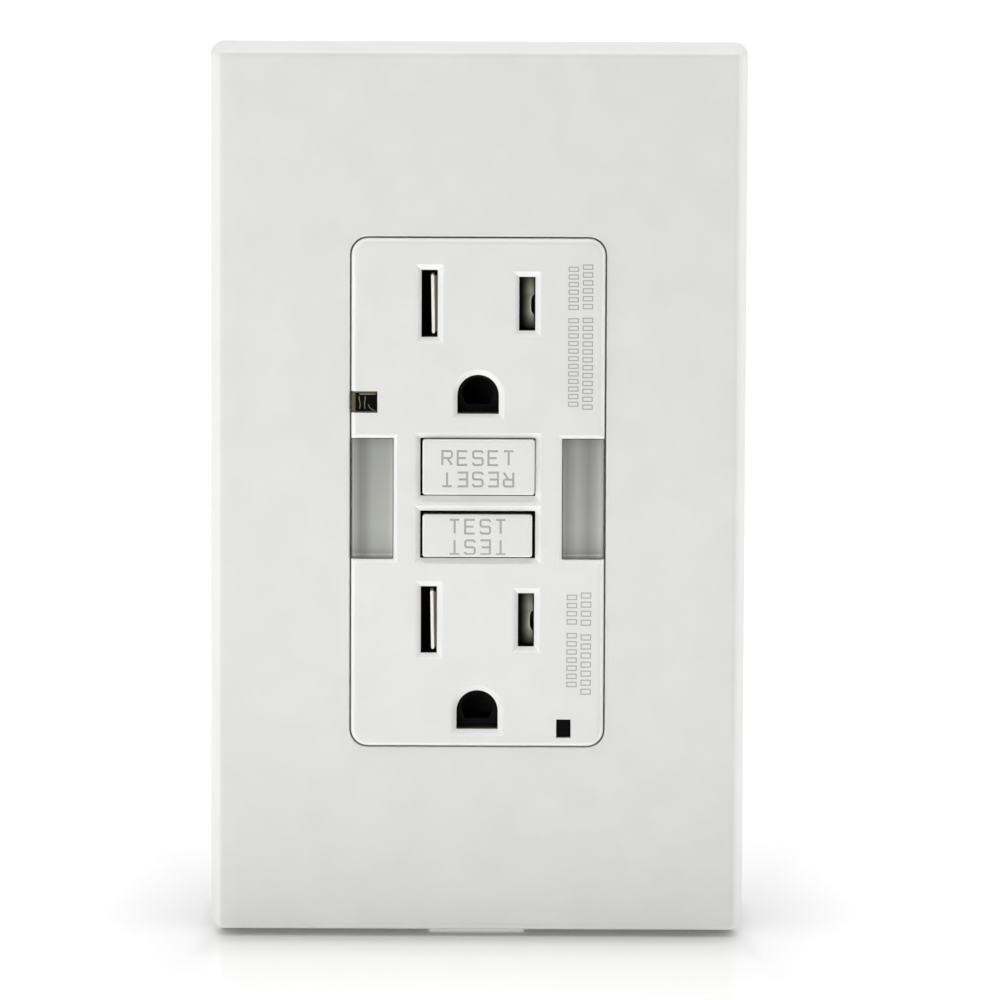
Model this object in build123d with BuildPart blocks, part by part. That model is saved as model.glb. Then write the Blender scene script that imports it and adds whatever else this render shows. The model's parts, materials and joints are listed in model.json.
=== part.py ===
from build123d import *
import os

# A ground-fault receptacle with guide lights, its screwless wall plate and all that is inside.
# Millimetres: X is to the right, Y goes into the wall and Z is up. The origin lies on the finished
# wall, in the back plane of the mounting strap, midway between the two mounting screws.

# Wall plate
PLATE_WIDTH = 70.1
PLATE_HEIGHT = 117.1
PLATE_DEPTH = 6.5
PLATE_CORNER = 1.8
PLATE_DRAFT = 8.7  # degrees
PLATE_EDGE = 1.0
PLATE_WALL = 1.6
PLATE_FRONT_WALL = 1.9
OPENING_WIDTH = 33.4
OPENING_HEIGHT = 66.9
OPENING_CORNER = 2.35

# Device face, behind which everything else is stacked by depth
FACE_WIDTH = 33.0
FACE_HEIGHT = 66.5
FACE_CORNER = 2.2
FACE_EDGE = 0.8
FACE_DEPTH = -7.1
FACE_WALL = 2.0
FACE_SIDE_WALL = 1.4
FLANGE_WIDTH = 41.0
FLANGE_HEIGHT = 67.4
FLANGE_DEPTH = -3.0
STRAP_THICKNESS = 1.2
HOUSING_DEPTH = 1.0
HOUSING_BACK = 27.0
HOUSING_WIDTH = 42.5
HOUSING_HEIGHT = 68.5
HOUSING_WALL = 1.6
BUS_DEPTH = 9.0
FRAME_DEPTH = 9.8
FRAME_THICKNESS = 1.2
BOARD_DEPTH = 20.0
BOARD_THICKNESS = 1.6

# Receptacles: two ground holes and the blade slots above each
GROUND_HEIGHTS = (12.75, -28.65)
BLADE_RISE = 12.0
BLADE_SPACING = 12.7
SLOT_WIDTH = 2.1
NEUTRAL_SLOT = 8.75
HOT_SLOT = 7.0
SLOT_BEVEL = 0.75
GROUND_RADIUS = 2.7
GROUND_FLAT = 2.4

# Buttons
RESET_Z = 3.4
RESET_WELL = 7.55
TEST_Z = -5.45
TEST_WELL = 6.2
WELL_WIDTH = 15.0
WELL_BEVEL = 0.75
RESET_TRAVEL = 2.8
TEST_TRAVEL = 1.8
LETTER_HEIGHT = 2.07
LETTER_WIDTH = 1.5
LETTER_PITCH = 2.0
LETTER_STROKE = 0.26
LETTER_DEPTH = 0.15

# Windows in the face. The guide light lenses are alike on both sides
LENS_X = (11.0, 16.5)
LENS_Z = (-8.65, 7.15)
PHOTOCELL_X = (-16.5, -13.1)
PHOTOCELL_Z = (10.5, 13.3)
STATUS_X = 11.3
STATUS_Z = -30.9
STATUS_WIDTH = 1.9
STATUS_HEIGHT = 2.45
LIGHT_CLEARANCE = 0.08

# Fastening
MOUNTING_SCREW_Z = 41.67
PLATE_SCREW_Z = 48.4
MOUNTING_SCREW_RADIUS = 1.75
MOUNTING_SCREW_NECK = 1.45
HOUSING_SCREW_X = 17.6
HOUSING_SCREW_Z = 30.8
TERMINAL_Z = 18.0
TERMINAL_Y = 8.0
GROUND_SCREW_Y = 4.8
GROUND_SCREW_Z = -41.8

# Works
CLIP_LEAF = 0.45
ARM_X = (4.85, 7.85)
ARM_HINGE_Z = 13.0
ARM_Y = (13.2, 13.6)
ARM_WIDTH = ARM_X[1] - ARM_X[0]
CONTACT_Z = -7.0
CARRIAGE_Y = (13.75, 16.5)
SOLENOID_Y = 15.0
SENSOR_Z = 23.5

BLADE_X = BLADE_SPACING / 2
BLADE_HEIGHTS = [z + BLADE_RISE for z in GROUND_HEIGHTS]
FRAME_BACK = FRAME_DEPTH + FRAME_THICKNESS
BOARD_BACK = BOARD_DEPTH + BOARD_THICKNESS
FACE_BACK = FACE_DEPTH + FACE_WALL
SIDES = (-1, 1)


def facing(y):
    """Plane at depth y, seen from the room: its normal points out of the wall."""
    return Plane.XZ.offset(-y)


def block(x, y, z, mode=Mode.ADD):
    """Box in the active part between two limits along each of X, Y and Z."""
    with Locations(((x[0] + x[1]) / 2, (y[0] + y[1]) / 2, (z[0] + z[1]) / 2)):
        Box(abs(x[1] - x[0]), abs(y[1] - y[0]), abs(z[1] - z[0]), mode=mode)


def post(centres, y, radius, mode=Mode.ADD):
    """Round posts in the active part, along Y between two depths, at (x, z) centres."""
    with Locations(*[(x, (y[0] + y[1]) / 2, z) for x, z in centres]):
        Cylinder(radius, abs(y[1] - y[0]), rotation=(90, 0, 0), mode=mode)


def sleeve(centres, y, outer, inner):
    """Round tubes in the active part, along Y between two depths, at (x, z) centres."""
    post(centres, y, outer)
    post(centres, y, inner, Mode.SUBTRACT)


def round_end(x, width, y, z):
    """Half-round end of a leaf in the active part, about the line along X that it turns on."""
    with Locations((x, (y[0] + y[1]) / 2, z)):
        Cylinder((y[1] - y[0]) / 2, width, rotation=(0, 90, 0))


def screw(head_radius, head_height, shank_radius, shank_length, dome):
    """Screw with its head's underside at the origin, its head towards -Y and a cross drive."""
    drive_depth = 0.6 * head_height
    with BuildPart() as made:
        post([(0, 0)], (-head_height, 0), head_radius)
        fillet(made.edges().filter_by(GeomType.CIRCLE).sort_by(Axis.Y)[0], dome)
        post([(0, 0)], (0, shank_length), shank_radius)
        chamfer(made.edges().filter_by(GeomType.CIRCLE).sort_by(Axis.Y)[-1], 0.4 * shank_radius)
        for x, z in ((1.3, 0.22), (0.22, 1.3)):
            reach = (x * head_radius / 2, z * head_radius / 2)
            block(
                (-reach[0], reach[0]),
                (-head_height, drive_depth - head_height),
                (-reach[1], reach[1]),
                Mode.SUBTRACT,
            )
    return made.part


def ground_outline(grow=0.0):
    """Ground hole seen from the room: a circle with a flat bottom, grown all round."""
    with BuildSketch() as outline:
        Circle(GROUND_RADIUS + grow)
        with Locations((0, -(GROUND_FLAT + grow) / 2)):
            Rectangle(2 * (GROUND_RADIUS + grow), GROUND_FLAT + grow)
        low = GROUND_RADIUS - GROUND_FLAT
        with Locations((0, -(GROUND_FLAT + grow) - low)):
            Rectangle(4 * GROUND_RADIUS, 2 * low, mode=Mode.SUBTRACT)
    return outline.sketch


def letter_strokes(name):
    """Centre lines of one plain capital letter, from its lower left corner."""
    wide = LETTER_WIDTH - LETTER_STROKE
    tall = LETTER_HEIGHT - LETTER_STROKE
    middle = tall / 2
    turn = 0.28
    hook = 0.3
    with BuildLine() as outline:
        if name == "T":
            Line((0, tall), (wide, tall))
        if name == "E":
            Polyline((wide, 0), (0, 0), (0, tall), (wide, tall))
        if name == "R":
            Polyline((0, 0), (0, tall), (wide - turn, tall))
            RadiusArc((wide - turn, tall), (wide, tall - turn), turn)
            Line((wide, tall - turn), (wide, middle + turn))
            RadiusArc((wide, middle + turn), (wide - turn, middle), turn)
            Line((wide - turn, middle), (0, middle))
        if name == "S":
            left = [(0, tall), (0, middle), (wide, middle), (wide, 0), (0, 0), (0, hook)]
            FilletPolyline((wide, tall - hook), (wide, tall), *left, radius=turn)
    with BuildLine() as inner:
        if name == "T":
            Line((wide / 2, 0), (wide / 2, tall))
        if name == "E":
            Line((0, middle), (0.85 * wide, middle))
        if name == "R":
            Line((wide / 2, middle), (wide, 0))
    return [outline.line] if name == "S" else [outline.line, inner.line]


def letter(name):
    """One plain capital letter of even strokes."""
    with BuildSketch() as drawn:
        for line in letter_strokes(name):
            trace(line, line_width=LETTER_STROKE)
    return drawn.sketch


def word(text):
    """A word of plain capitals, centred on the origin."""
    span = LETTER_PITCH * (len(text) - 1) + LETTER_WIDTH - LETTER_STROKE
    with BuildSketch() as written:
        for place, name in enumerate(text):
            corner = (LETTER_PITCH * place - span / 2, (LETTER_STROKE - LETTER_HEIGHT) / 2)
            with Locations(corner):
                add(letter(name))
    return written.sketch


os.makedirs("parts", exist_ok=True)

# ---------------------------------------------------------------------------------------------
# Wall plate: a drafted shell that snaps over the sub plate and frames the device's face

with BuildPart() as wall_plate:
    with BuildSketch(facing(0)):
        RectangleRounded(PLATE_WIDTH, PLATE_HEIGHT, PLATE_CORNER)
    extrude(amount=PLATE_DEPTH, taper=PLATE_DRAFT)
    fillet(wall_plate.faces().sort_by(Axis.Y)[0].edges(), PLATE_EDGE)
    with BuildSketch(facing(0)):
        RectangleRounded(PLATE_WIDTH - 2 * PLATE_WALL, PLATE_HEIGHT - 2 * PLATE_WALL, 1.0)
    extrude(amount=PLATE_DEPTH - PLATE_FRONT_WALL, taper=PLATE_DRAFT, mode=Mode.SUBTRACT)
    with BuildSketch(facing(0)):
        RectangleRounded(OPENING_WIDTH, OPENING_HEIGHT, OPENING_CORNER)
    extrude(amount=PLATE_DEPTH, mode=Mode.SUBTRACT)
    fillet(wall_plate.faces().sort_by(Axis.Y)[0].inner_wires()[0].edges(), 0.2)
    notch_bottom = -PLATE_HEIGHT / 2
    block((-6.25, 6.25), (-1.6, 0), (notch_bottom, notch_bottom + PLATE_WALL), Mode.SUBTRACT)
    for side in SIDES:
        for x in (-18, 18):
            leg_back = PLATE_DEPTH - PLATE_FRONT_WALL
            block((x - 4, x + 4), (-leg_back, -1.0), (side * 55.3, side * 56.1))
wall_plate.part.label = "wall_plate"
export_step(wall_plate.part, "parts/wall_plate.step")

# Sub plate: a flat frame screwed to the strap, with ribs that the wall plate's legs snap behind

SUB_PLATE_DEPTH = -STRAP_THICKNESS - 1.2
with BuildPart() as sub_plate:
    with BuildSketch(facing(-STRAP_THICKNESS)):
        RectangleRounded(63, 110, 3)
        RectangleRounded(43.6, 70.4, 4, mode=Mode.SUBTRACT)
        for side in SIDES:
            with Locations((0, side * 38)):
                Rectangle(7.4, 7.4, mode=Mode.SUBTRACT)
            with Locations((0, side * (MOUNTING_SCREW_Z - 0.1))):
                Circle(3.7, mode=Mode.SUBTRACT)
            with Locations((0, side * PLATE_SCREW_Z)):
                Circle(1.6, mode=Mode.SUBTRACT)
    extrude(amount=-SUB_PLATE_DEPTH - STRAP_THICKNESS)
    for side in SIDES:
        for x in (-18, 18):
            block((x - 4, x + 4), (SUB_PLATE_DEPTH - 0.8, SUB_PLATE_DEPTH), (side * 53, side * 54.2))
        stiffener = (side * 26, side * 27.2)
        block(stiffener, (SUB_PLATE_DEPTH - 1.0, SUB_PLATE_DEPTH), (-50, 50))
sub_plate.part.label = "sub_plate"
export_step(sub_plate.part, "parts/sub_plate.step")

plate_screw = screw(3.0, 1.6, 1.4, 3.9, 0.8)
with BuildPart() as sub_plate_screws:
    with Locations(*[(0, SUB_PLATE_DEPTH, side * PLATE_SCREW_Z) for side in SIDES]):
        add(plate_screw)
sub_plate_screws.part.label = "sub_plate_screws"
export_step(sub_plate_screws.part, "parts/sub_plate_screws.step")

# ---------------------------------------------------------------------------------------------
# Front cover: the face with its slots, wells and windows, on a wider flange

with BuildPart() as front_cover:
    with BuildSketch(facing(FLANGE_DEPTH)):
        RectangleRounded(FACE_WIDTH, FACE_HEIGHT, FACE_CORNER)
    extrude(amount=FLANGE_DEPTH - FACE_DEPTH)
    fillet(front_cover.faces().sort_by(Axis.Y)[0].edges(), FACE_EDGE)
    with BuildSketch(facing(HOUSING_DEPTH)):
        RectangleRounded(FLANGE_WIDTH, FLANGE_HEIGHT, 3.0)
    extrude(amount=HOUSING_DEPTH - FLANGE_DEPTH)
    with BuildSketch(facing(HOUSING_DEPTH)):
        RectangleRounded(FACE_WIDTH - 2 * FACE_SIDE_WALL, FACE_HEIGHT - 2 * FACE_SIDE_WALL, 1.0)
    extrude(amount=HOUSING_DEPTH - FACE_BACK, mode=Mode.SUBTRACT)

    # Channel for the strap through the top and bottom walls
    strap_channel = (-STRAP_THICKNESS, HOUSING_DEPTH)
    block((-13.2, 13.2), strap_channel, (-FLANGE_HEIGHT, FLANGE_HEIGHT), Mode.SUBTRACT)

    # Sleeves behind the blade slots and round the button wells
    sleeve_back = -3.5
    for z in BLADE_HEIGHTS:
        for side, length in ((-1, NEUTRAL_SLOT), (1, HOT_SLOT)):
            x = side * BLADE_X
            half = SLOT_WIDTH / 2 + 0.8
            block((x - half, x + half), (FACE_BACK, sleeve_back), (z - length / 2 - 1, z + length / 2 + 1))
    well_sleeve_x = WELL_WIDTH / 2 + 0.8
    block(
        (-well_sleeve_x, well_sleeve_x),
        (FACE_BACK, -2.6),
        (TEST_Z - TEST_WELL / 2 - 0.8, RESET_Z + RESET_WELL / 2 + 0.8),
    )

    # Blade slots and button wells, each with a mitred bevel
    for z in BLADE_HEIGHTS:
        for side, length in ((-1, NEUTRAL_SLOT), (1, HOT_SLOT)):
            with BuildSketch(facing(sleeve_back)):
                with Locations((side * BLADE_X, z)):
                    Rectangle(SLOT_WIDTH, length)
            extrude(amount=sleeve_back - FACE_DEPTH, mode=Mode.SUBTRACT)
            with BuildSketch(facing(FACE_DEPTH)):
                with Locations((side * BLADE_X, z)):
                    Rectangle(SLOT_WIDTH + 2 * SLOT_BEVEL, length + 2 * SLOT_BEVEL)
            extrude(amount=-SLOT_BEVEL, taper=45, mode=Mode.SUBTRACT)
    for z, height in ((RESET_Z, RESET_WELL), (TEST_Z, TEST_WELL)):
        with BuildSketch(facing(FLANGE_DEPTH + 1)):
            with Locations((0, z)):
                Rectangle(WELL_WIDTH, height)
        extrude(amount=FLANGE_DEPTH + 1 - FACE_DEPTH, mode=Mode.SUBTRACT)
        with BuildSketch(facing(FACE_DEPTH)):
            with Locations((0, z)):
                Rectangle(WELL_WIDTH + 2 * WELL_BEVEL, height + 2 * WELL_BEVEL)
        extrude(amount=-WELL_BEVEL, taper=45, mode=Mode.SUBTRACT)

    # Ground holes
    for z in GROUND_HEIGHTS:
        with BuildSketch(facing(FACE_BACK)):
            with Locations((0, z)):
                add(ground_outline())
        extrude(amount=FACE_WALL, mode=Mode.SUBTRACT)
        with BuildSketch(facing(FACE_DEPTH)):
            with Locations((0, z)):
                add(ground_outline(SLOT_BEVEL))
        extrude(amount=-SLOT_BEVEL, taper=45, mode=Mode.SUBTRACT)

    # Windows for the guide lights, the photocell and the status light
    window_depth = (FACE_DEPTH, FACE_BACK + 0.4)
    for side in SIDES:
        lens_window = (side * LENS_X[0], side * (LENS_X[1] + 0.5))
        block(lens_window, window_depth, LENS_Z, Mode.SUBTRACT)
        with BuildSketch(facing(FACE_DEPTH)):
            with Locations((side * LENS_X[1], sum(LENS_Z) / 2)):
                Rectangle(2 * (LENS_X[1] - LENS_X[0]) + 1, LENS_Z[1] - LENS_Z[0] + 1)
        extrude(amount=-0.5, taper=45, mode=Mode.SUBTRACT)
    block((PHOTOCELL_X[0] - 0.5, PHOTOCELL_X[1]), window_depth, PHOTOCELL_Z, Mode.SUBTRACT)
    block(
        (STATUS_X - STATUS_WIDTH / 2, STATUS_X + STATUS_WIDTH / 2),
        (FACE_DEPTH, HOUSING_DEPTH),
        (STATUS_Z - STATUS_HEIGHT / 2, STATUS_Z + STATUS_HEIGHT / 2),
        Mode.SUBTRACT,
    )

    # Blind holes for the housing screws
    corners = [(x * HOUSING_SCREW_X, z * HOUSING_SCREW_Z) for x in SIDES for z in SIDES]
    post(corners, (-2.2, HOUSING_DEPTH), 1.15, Mode.SUBTRACT)
front_cover.part.label = "front_cover"
export_step(front_cover.part, "parts/front_cover.step")

# ---------------------------------------------------------------------------------------------
# Mounting strap: a steel stamping with plaster ears, windows for the plugs and a ground tab

EAR_END = 53.0
with BuildPart() as mounting_strap:
    with BuildSketch(facing(0)):
        Rectangle(26, 80)
        for side in SIDES:
            with Locations((0, side * (34.5 + EAR_END) / 2)):
                RectangleRounded(34, EAR_END - 34.5, 5)
        with Locations(*[(0, side * MOUNTING_SCREW_Z) for side in SIDES]):
            SlotOverall(7, 4, mode=Mode.SUBTRACT)
        with Locations(*[(0, side * PLATE_SCREW_Z) for side in SIDES]):
            Circle(1.5, mode=Mode.SUBTRACT)
        with Locations(*[(0, z) for z in BLADE_HEIGHTS]):
            Rectangle(18, 11.1, mode=Mode.SUBTRACT)
        with Locations(*[(0, z) for z in GROUND_HEIGHTS]):
            Circle(3.2, mode=Mode.SUBTRACT)
        with Locations((0, (TEST_Z - 3.85 + RESET_Z + 4.6) / 2)):
            Rectangle(16.6, RESET_Z - TEST_Z + 8.45, mode=Mode.SUBTRACT)
        with Locations(*[(side * 13, (LENS_Z[0] + LENS_Z[1]) / 2) for side in SIDES]):
            Rectangle(5, LENS_Z[1] - LENS_Z[0] + 1.2, mode=Mode.SUBTRACT)
        with Locations((STATUS_X + 0.6, STATUS_Z)):
            Rectangle(4, STATUS_HEIGHT + 0.95, mode=Mode.SUBTRACT)
        with Locations(*[(side * 4.8, z) for side in SIDES for z in GROUND_HEIGHTS]):
            Circle(0.85, mode=Mode.SUBTRACT)
        with Locations((-17.2, GROUND_SCREW_Z)):
            Rectangle(1.6, 10.3, mode=Mode.SUBTRACT)
    extrude(amount=STRAP_THICKNESS)
    tab_z = (GROUND_SCREW_Z - 4.7, GROUND_SCREW_Z + 4.8)
    block((-16.4, -15.2), (-STRAP_THICKNESS, 9.5), tab_z)
    tab_corners = mounting_strap.edges().filter_by(Axis.X).sort_by(Axis.Y)[-2:]
    fillet(tab_corners, 2.0)
    with Locations((-15.8, GROUND_SCREW_Y, GROUND_SCREW_Z)):
        Cylinder(2.0, 3, rotation=(0, 90, 0), mode=Mode.SUBTRACT)
mounting_strap.part.label = "mounting_strap"
export_step(mounting_strap.part, "parts/mounting_strap.step")

# The screws are relieved under the head, where fibre retainers keep them captive
RETAINER_THICKNESS = 0.5
MOUNTING_SCREW_END = 26.0
relieved_screw = screw(3.3, 2.0, MOUNTING_SCREW_NECK, 3.0, 1.0)
with BuildPart() as mounting_screws:
    screw_places = [(0, side * MOUNTING_SCREW_Z) for side in SIDES]
    with Locations(*[(x, -STRAP_THICKNESS, z) for x, z in screw_places]):
        add(relieved_screw)
    post(screw_places, (RETAINER_THICKNESS, MOUNTING_SCREW_END), MOUNTING_SCREW_RADIUS)
    ends = mounting_screws.edges().filter_by(GeomType.CIRCLE).group_by(Axis.Y)[-1]
    chamfer(ends, 0.7)
mounting_screws.part.label = "mounting_screws"
export_step(mounting_screws.part, "parts/mounting_screws.step")

with BuildPart() as screw_retainers:
    sleeve(screw_places, (0, RETAINER_THICKNESS), 3.6, MOUNTING_SCREW_NECK + 0.05)
screw_retainers.part.label = "screw_retainers"
export_step(screw_retainers.part, "parts/screw_retainers.step")

tab_screw = screw(4.0, 2.0, 1.9, 6.0, 0.6)
with BuildPart() as ground_screw:
    with Locations(Location((-16.4, GROUND_SCREW_Y, GROUND_SCREW_Z), (0, 0, -90))):
        add(tab_screw)
ground_screw.part.label = "ground_screw"
export_step(ground_screw.part, "parts/ground_screw.step")

# Ground contacts: a base behind the strap, with two leaves that grip the round pin

for place, z in zip(("upper", "lower"), GROUND_HEIGHTS):
    with BuildPart() as ground_contact:
        with BuildSketch(facing(0.6)):
            with Locations((0, z)):
                RectangleRounded(12.6, 7.6, 1.0)
                Rectangle(4.7, 6.4, mode=Mode.SUBTRACT)
            with Locations((-4.8, z), (4.8, z)):
                Circle(0.85, mode=Mode.SUBTRACT)
        extrude(amount=0.6)
        for side in SIDES:
            block((side * 2.35, side * 2.95), (0.6, 9.5), (z - 2.5, z + 2.5))
    ground_contact.part.label = f"ground_contact_{place}"
    export_step(ground_contact.part, f"parts/ground_contact_{place}.step")

with BuildPart() as ground_rivets:
    rivet_places = [(side * 4.8, z) for side in SIDES for z in GROUND_HEIGHTS]
    post(rivet_places, (-STRAP_THICKNESS, 0.6), 0.8)
    post(rivet_places, (-STRAP_THICKNESS - 0.5, -STRAP_THICKNESS), 1.25)
    post(rivet_places, (0.6, 1.0), 1.25)
ground_rivets.part.label = "ground_rivets"
export_step(ground_rivets.part, "parts/ground_rivets.step")

# ---------------------------------------------------------------------------------------------
# Rear housing: a deep cup with side windows for the terminal screws and wire entries at the back

SCREW_SEAT = 24.9
with BuildPart() as rear_housing:
    with BuildSketch(facing(HOUSING_BACK)):
        RectangleRounded(HOUSING_WIDTH, HOUSING_HEIGHT, 3.0)
    extrude(amount=HOUSING_BACK - HOUSING_DEPTH)
    fillet(rear_housing.faces().sort_by(Axis.Y)[-1].edges(), 1.2)
    cavity_width = HOUSING_WIDTH - 2 * HOUSING_WALL
    cavity_height = HOUSING_HEIGHT - 2 * HOUSING_WALL
    with BuildSketch(facing(HOUSING_BACK - HOUSING_WALL)):
        RectangleRounded(cavity_width, cavity_height, 1.4)
    extrude(amount=HOUSING_BACK - HOUSING_WALL - HOUSING_DEPTH, mode=Mode.SUBTRACT)
    post(corners, (HOUSING_DEPTH, HOUSING_BACK - 1), 2.7)
    for side in SIDES:
        block((-13.1, 13.1), (0, HOUSING_DEPTH + 3), (side * cavity_height / 2, side * 33.6))
        for z in (-TERMINAL_Z, TERMINAL_Z):
            rib_x = (side * 14.3, side * cavity_width / 2)
            for rib in SIDES:
                block(rib_x, (2.2, 13.8), (z + rib * 5.5, z + rib * 6.3))
            window_x = (side * cavity_width / 2, side * HOUSING_WIDTH)
            block(window_x, (3, 13), (z - 5.5, z + 5.5), Mode.SUBTRACT)
            entry_x = (side * 15.4, side * 17.6)
            block(entry_x, (HOUSING_BACK - 3, HOUSING_BACK), (z - 3.5, z + 3.5), Mode.SUBTRACT)
        board_rest = (BOARD_BACK, HOUSING_BACK - HOUSING_WALL)
        block((side * 17.2, side * cavity_width / 2), board_rest, (-4, 4))
    post(corners, (-1, HOUSING_BACK), 1.25, Mode.SUBTRACT)
    post(corners, (SCREW_SEAT, HOUSING_BACK), 2.4, Mode.SUBTRACT)
rear_housing.part.label = "rear_housing"
export_step(rear_housing.part, "parts/rear_housing.step")

case_screw = screw(2.2, 1.5, 1.1, 26.9, 0.5)
with BuildPart() as housing_screws:
    with Locations(*[Location((x, SCREW_SEAT, z), (0, 0, 180)) for x, z in corners]):
        add(case_screw)
housing_screws.part.label = "housing_screws"
export_step(housing_screws.part, "parts/housing_screws.step")

# ---------------------------------------------------------------------------------------------
# Middle frame: the plate between the plug contacts and the works

FRAME_HALF_WIDTH = 13.6
FRAME_HALF_HEIGHT = 31.0
TEST_ARM_Z = (-10.8, -4.0)
with BuildPart() as middle_frame:
    with BuildSketch(facing(FRAME_BACK)):
        RectangleRounded(2 * FRAME_HALF_WIDTH, 2 * FRAME_HALF_HEIGHT, 1.0)
        with Locations((0, RESET_Z)):
            Circle(1.8, mode=Mode.SUBTRACT)
        with Locations(*[(side * BLADE_X, CONTACT_Z) for side in SIDES]):
            Rectangle(4.1, 4.6, mode=Mode.SUBTRACT)
        with Locations(*[(side * FRAME_HALF_WIDTH, -0.75) for side in SIDES]):
            Rectangle(3.2, 6.5, mode=Mode.SUBTRACT)
        with Locations((FRAME_HALF_WIDTH, -FRAME_HALF_HEIGHT)):
            Rectangle(7.4, 3.6, mode=Mode.SUBTRACT)
    extrude(amount=FRAME_THICKNESS)
    for low, high in ((17, 30), (-23, -12.5)):
        block((-0.6, 0.6), (4, FRAME_DEPTH), (low, high))
    block((-1.2, 1.2), (4.5, FRAME_DEPTH), (TEST_ARM_Z[0] - 0.8, TEST_ARM_Z[0]))
    post([(-12, 29), (12, 29), (-6.4, -29.4), (6.4, -29.4)], (FRAME_BACK, BOARD_DEPTH), 1.0)
middle_frame.part.label = "middle_frame"
export_step(middle_frame.part, "parts/middle_frame.step")

# Load buses: a strip along each side with clip leaves for the blades and a terminal plate

BUS_BOTTOM = BLADE_HEIGHTS[1] - 4.5
BUS_TOP = BLADE_HEIGHTS[0] + 4.5
for side, name, slot in ((-1, "neutral", NEUTRAL_SLOT), (1, "hot", HOT_SLOT)):
    with BuildPart() as load_bus:
        bus_y = (BUS_DEPTH, FRAME_DEPTH)
        block((side * 4.0, side * 9.0), bus_y, (BUS_BOTTOM, BUS_TOP))
        slot_x = side * BLADE_X
        for z in BLADE_HEIGHTS:
            leaf_z = (z - slot / 2 + 0.3, z + slot / 2 - 0.3)
            near_leaf = (slot_x + 0.55, slot_x + 0.55 + CLIP_LEAF)
            far_leaf = (slot_x - 1.05 - CLIP_LEAF, slot_x - 1.05)
            block(near_leaf, (-3.0, BUS_DEPTH), leaf_z)
            block(far_leaf, (-3.0, BUS_DEPTH), leaf_z)
        block((side * 9.0, side * 14.4), bus_y, (TERMINAL_Z - 4.4, TERMINAL_Z - 2.4))
        with BuildSketch(Plane.YZ.offset(side * 14.4)):
            with Locations(((3.5 + 12) / 2, TERMINAL_Z)):
                Rectangle(8.5, 9.0)
            with Locations((TERMINAL_Y, TERMINAL_Z)):
                Circle(2.08, mode=Mode.SUBTRACT)
        extrude(amount=side * 1.2)
    load_bus.part.label = f"load_bus_{name}"
    export_step(load_bus.part, f"parts/load_bus_{name}.step")

with BuildPart() as fixed_contacts:
    post([(side * BLADE_X, CONTACT_Z) for side in SIDES], (FRAME_DEPTH, FRAME_DEPTH + 0.35), 1.4)
fixed_contacts.part.label = "fixed_contacts"
export_step(fixed_contacts.part, "parts/fixed_contacts.step")

# Line terminals: a plate behind each lower side window, with a tab to the circuit board

for side, name in ((-1, "neutral"), (1, "hot")):
    with BuildPart() as line_terminal:
        with BuildSketch(Plane.YZ.offset(side * 14.4)):
            with Locations((10, -TERMINAL_Z)):
                Rectangle(12, 9.0)
            with Locations(((16 + BOARD_DEPTH) / 2, -TERMINAL_Z - 2)):
                Rectangle(BOARD_DEPTH - 16, 3.0)
            with Locations((TERMINAL_Y, -TERMINAL_Z)):
                Circle(2.08, mode=Mode.SUBTRACT)
        extrude(amount=side * 1.2)
    line_terminal.part.label = f"line_terminal_{name}"
    export_step(line_terminal.part, f"parts/line_terminal_{name}.step")

# Terminal screws and the plates that clamp the wires, brass on the hot side

side_screw = screw(4.0, 1.8, 2.0, 4.7, 0.6)
TERMINAL_HEAD_X = 18.6
for side, finish in ((-1, "silver"), (1, "brass")):
    with BuildPart() as terminal_screws:
        with Locations(
            *[
                Location((side * TERMINAL_HEAD_X, TERMINAL_Y, z), (0, 0, side * 90))
                for z in (-TERMINAL_Z, TERMINAL_Z)
            ]
        ):
            add(side_screw)
    terminal_screws.part.label = f"terminal_screws_{finish}"
    export_step(terminal_screws.part, f"parts/terminal_screws_{finish}.step")
    with BuildPart() as clamp_plates:
        with BuildSketch(Plane.YZ.offset(side * (TERMINAL_HEAD_X - 1.2))):
            with Locations(*[(TERMINAL_Y, z) for z in (-TERMINAL_Z, TERMINAL_Z)]):
                RectangleRounded(8.6, 10.0, 0.8)
                Circle(2.3, mode=Mode.SUBTRACT)
        extrude(amount=side * 1.2)
    clamp_plates.part.label = f"clamp_plates_{finish}"
    export_step(clamp_plates.part, f"parts/clamp_plates_{finish}.step")

# ---------------------------------------------------------------------------------------------
# Reset button, its pin and its spring

CAP_BACK = -4.2
RESET_CAP = (14.6, 7.2)
RESET_CAP_DEPTH = -7.7
with BuildPart() as reset_button:
    with BuildSketch(facing(CAP_BACK)):
        with Locations((0.1, RESET_Z + 0.05)):
            RectangleRounded(RESET_CAP[0], RESET_CAP[1], 0.35)
    extrude(amount=CAP_BACK - RESET_CAP_DEPTH)
    fillet(reset_button.faces().sort_by(Axis.Y)[0].edges(), 0.3)
    with BuildSketch(facing(RESET_CAP_DEPTH)):
        with Locations((0, RESET_Z + 1.3)):
            add(word("RESET"))
        with Locations(Location((0, RESET_Z - 1.5, 0), (0, 0, 180))):
            add(word("RESET"))
    extrude(amount=-LETTER_DEPTH, mode=Mode.SUBTRACT)
    post([(0, RESET_Z)], (CAP_BACK, CAP_BACK + 0.3), 2.8)
    post([(0, RESET_Z)], (-5.6, 0), 1.1, Mode.SUBTRACT)
reset_button.part.label = "reset_button"
export_step(reset_button.part, "parts/reset_button.step")

PIN_END = BOARD_DEPTH - RESET_TRAVEL - 0.6
with BuildPart() as reset_pin:
    post([(0, RESET_Z)], (-5.6, PIN_END), 1.1)
    chamfer(reset_pin.edges().sort_by(Axis.Y)[-1], 0.5)
reset_pin.part.label = "reset_pin"
export_step(reset_pin.part, "parts/reset_pin.step")

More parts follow.
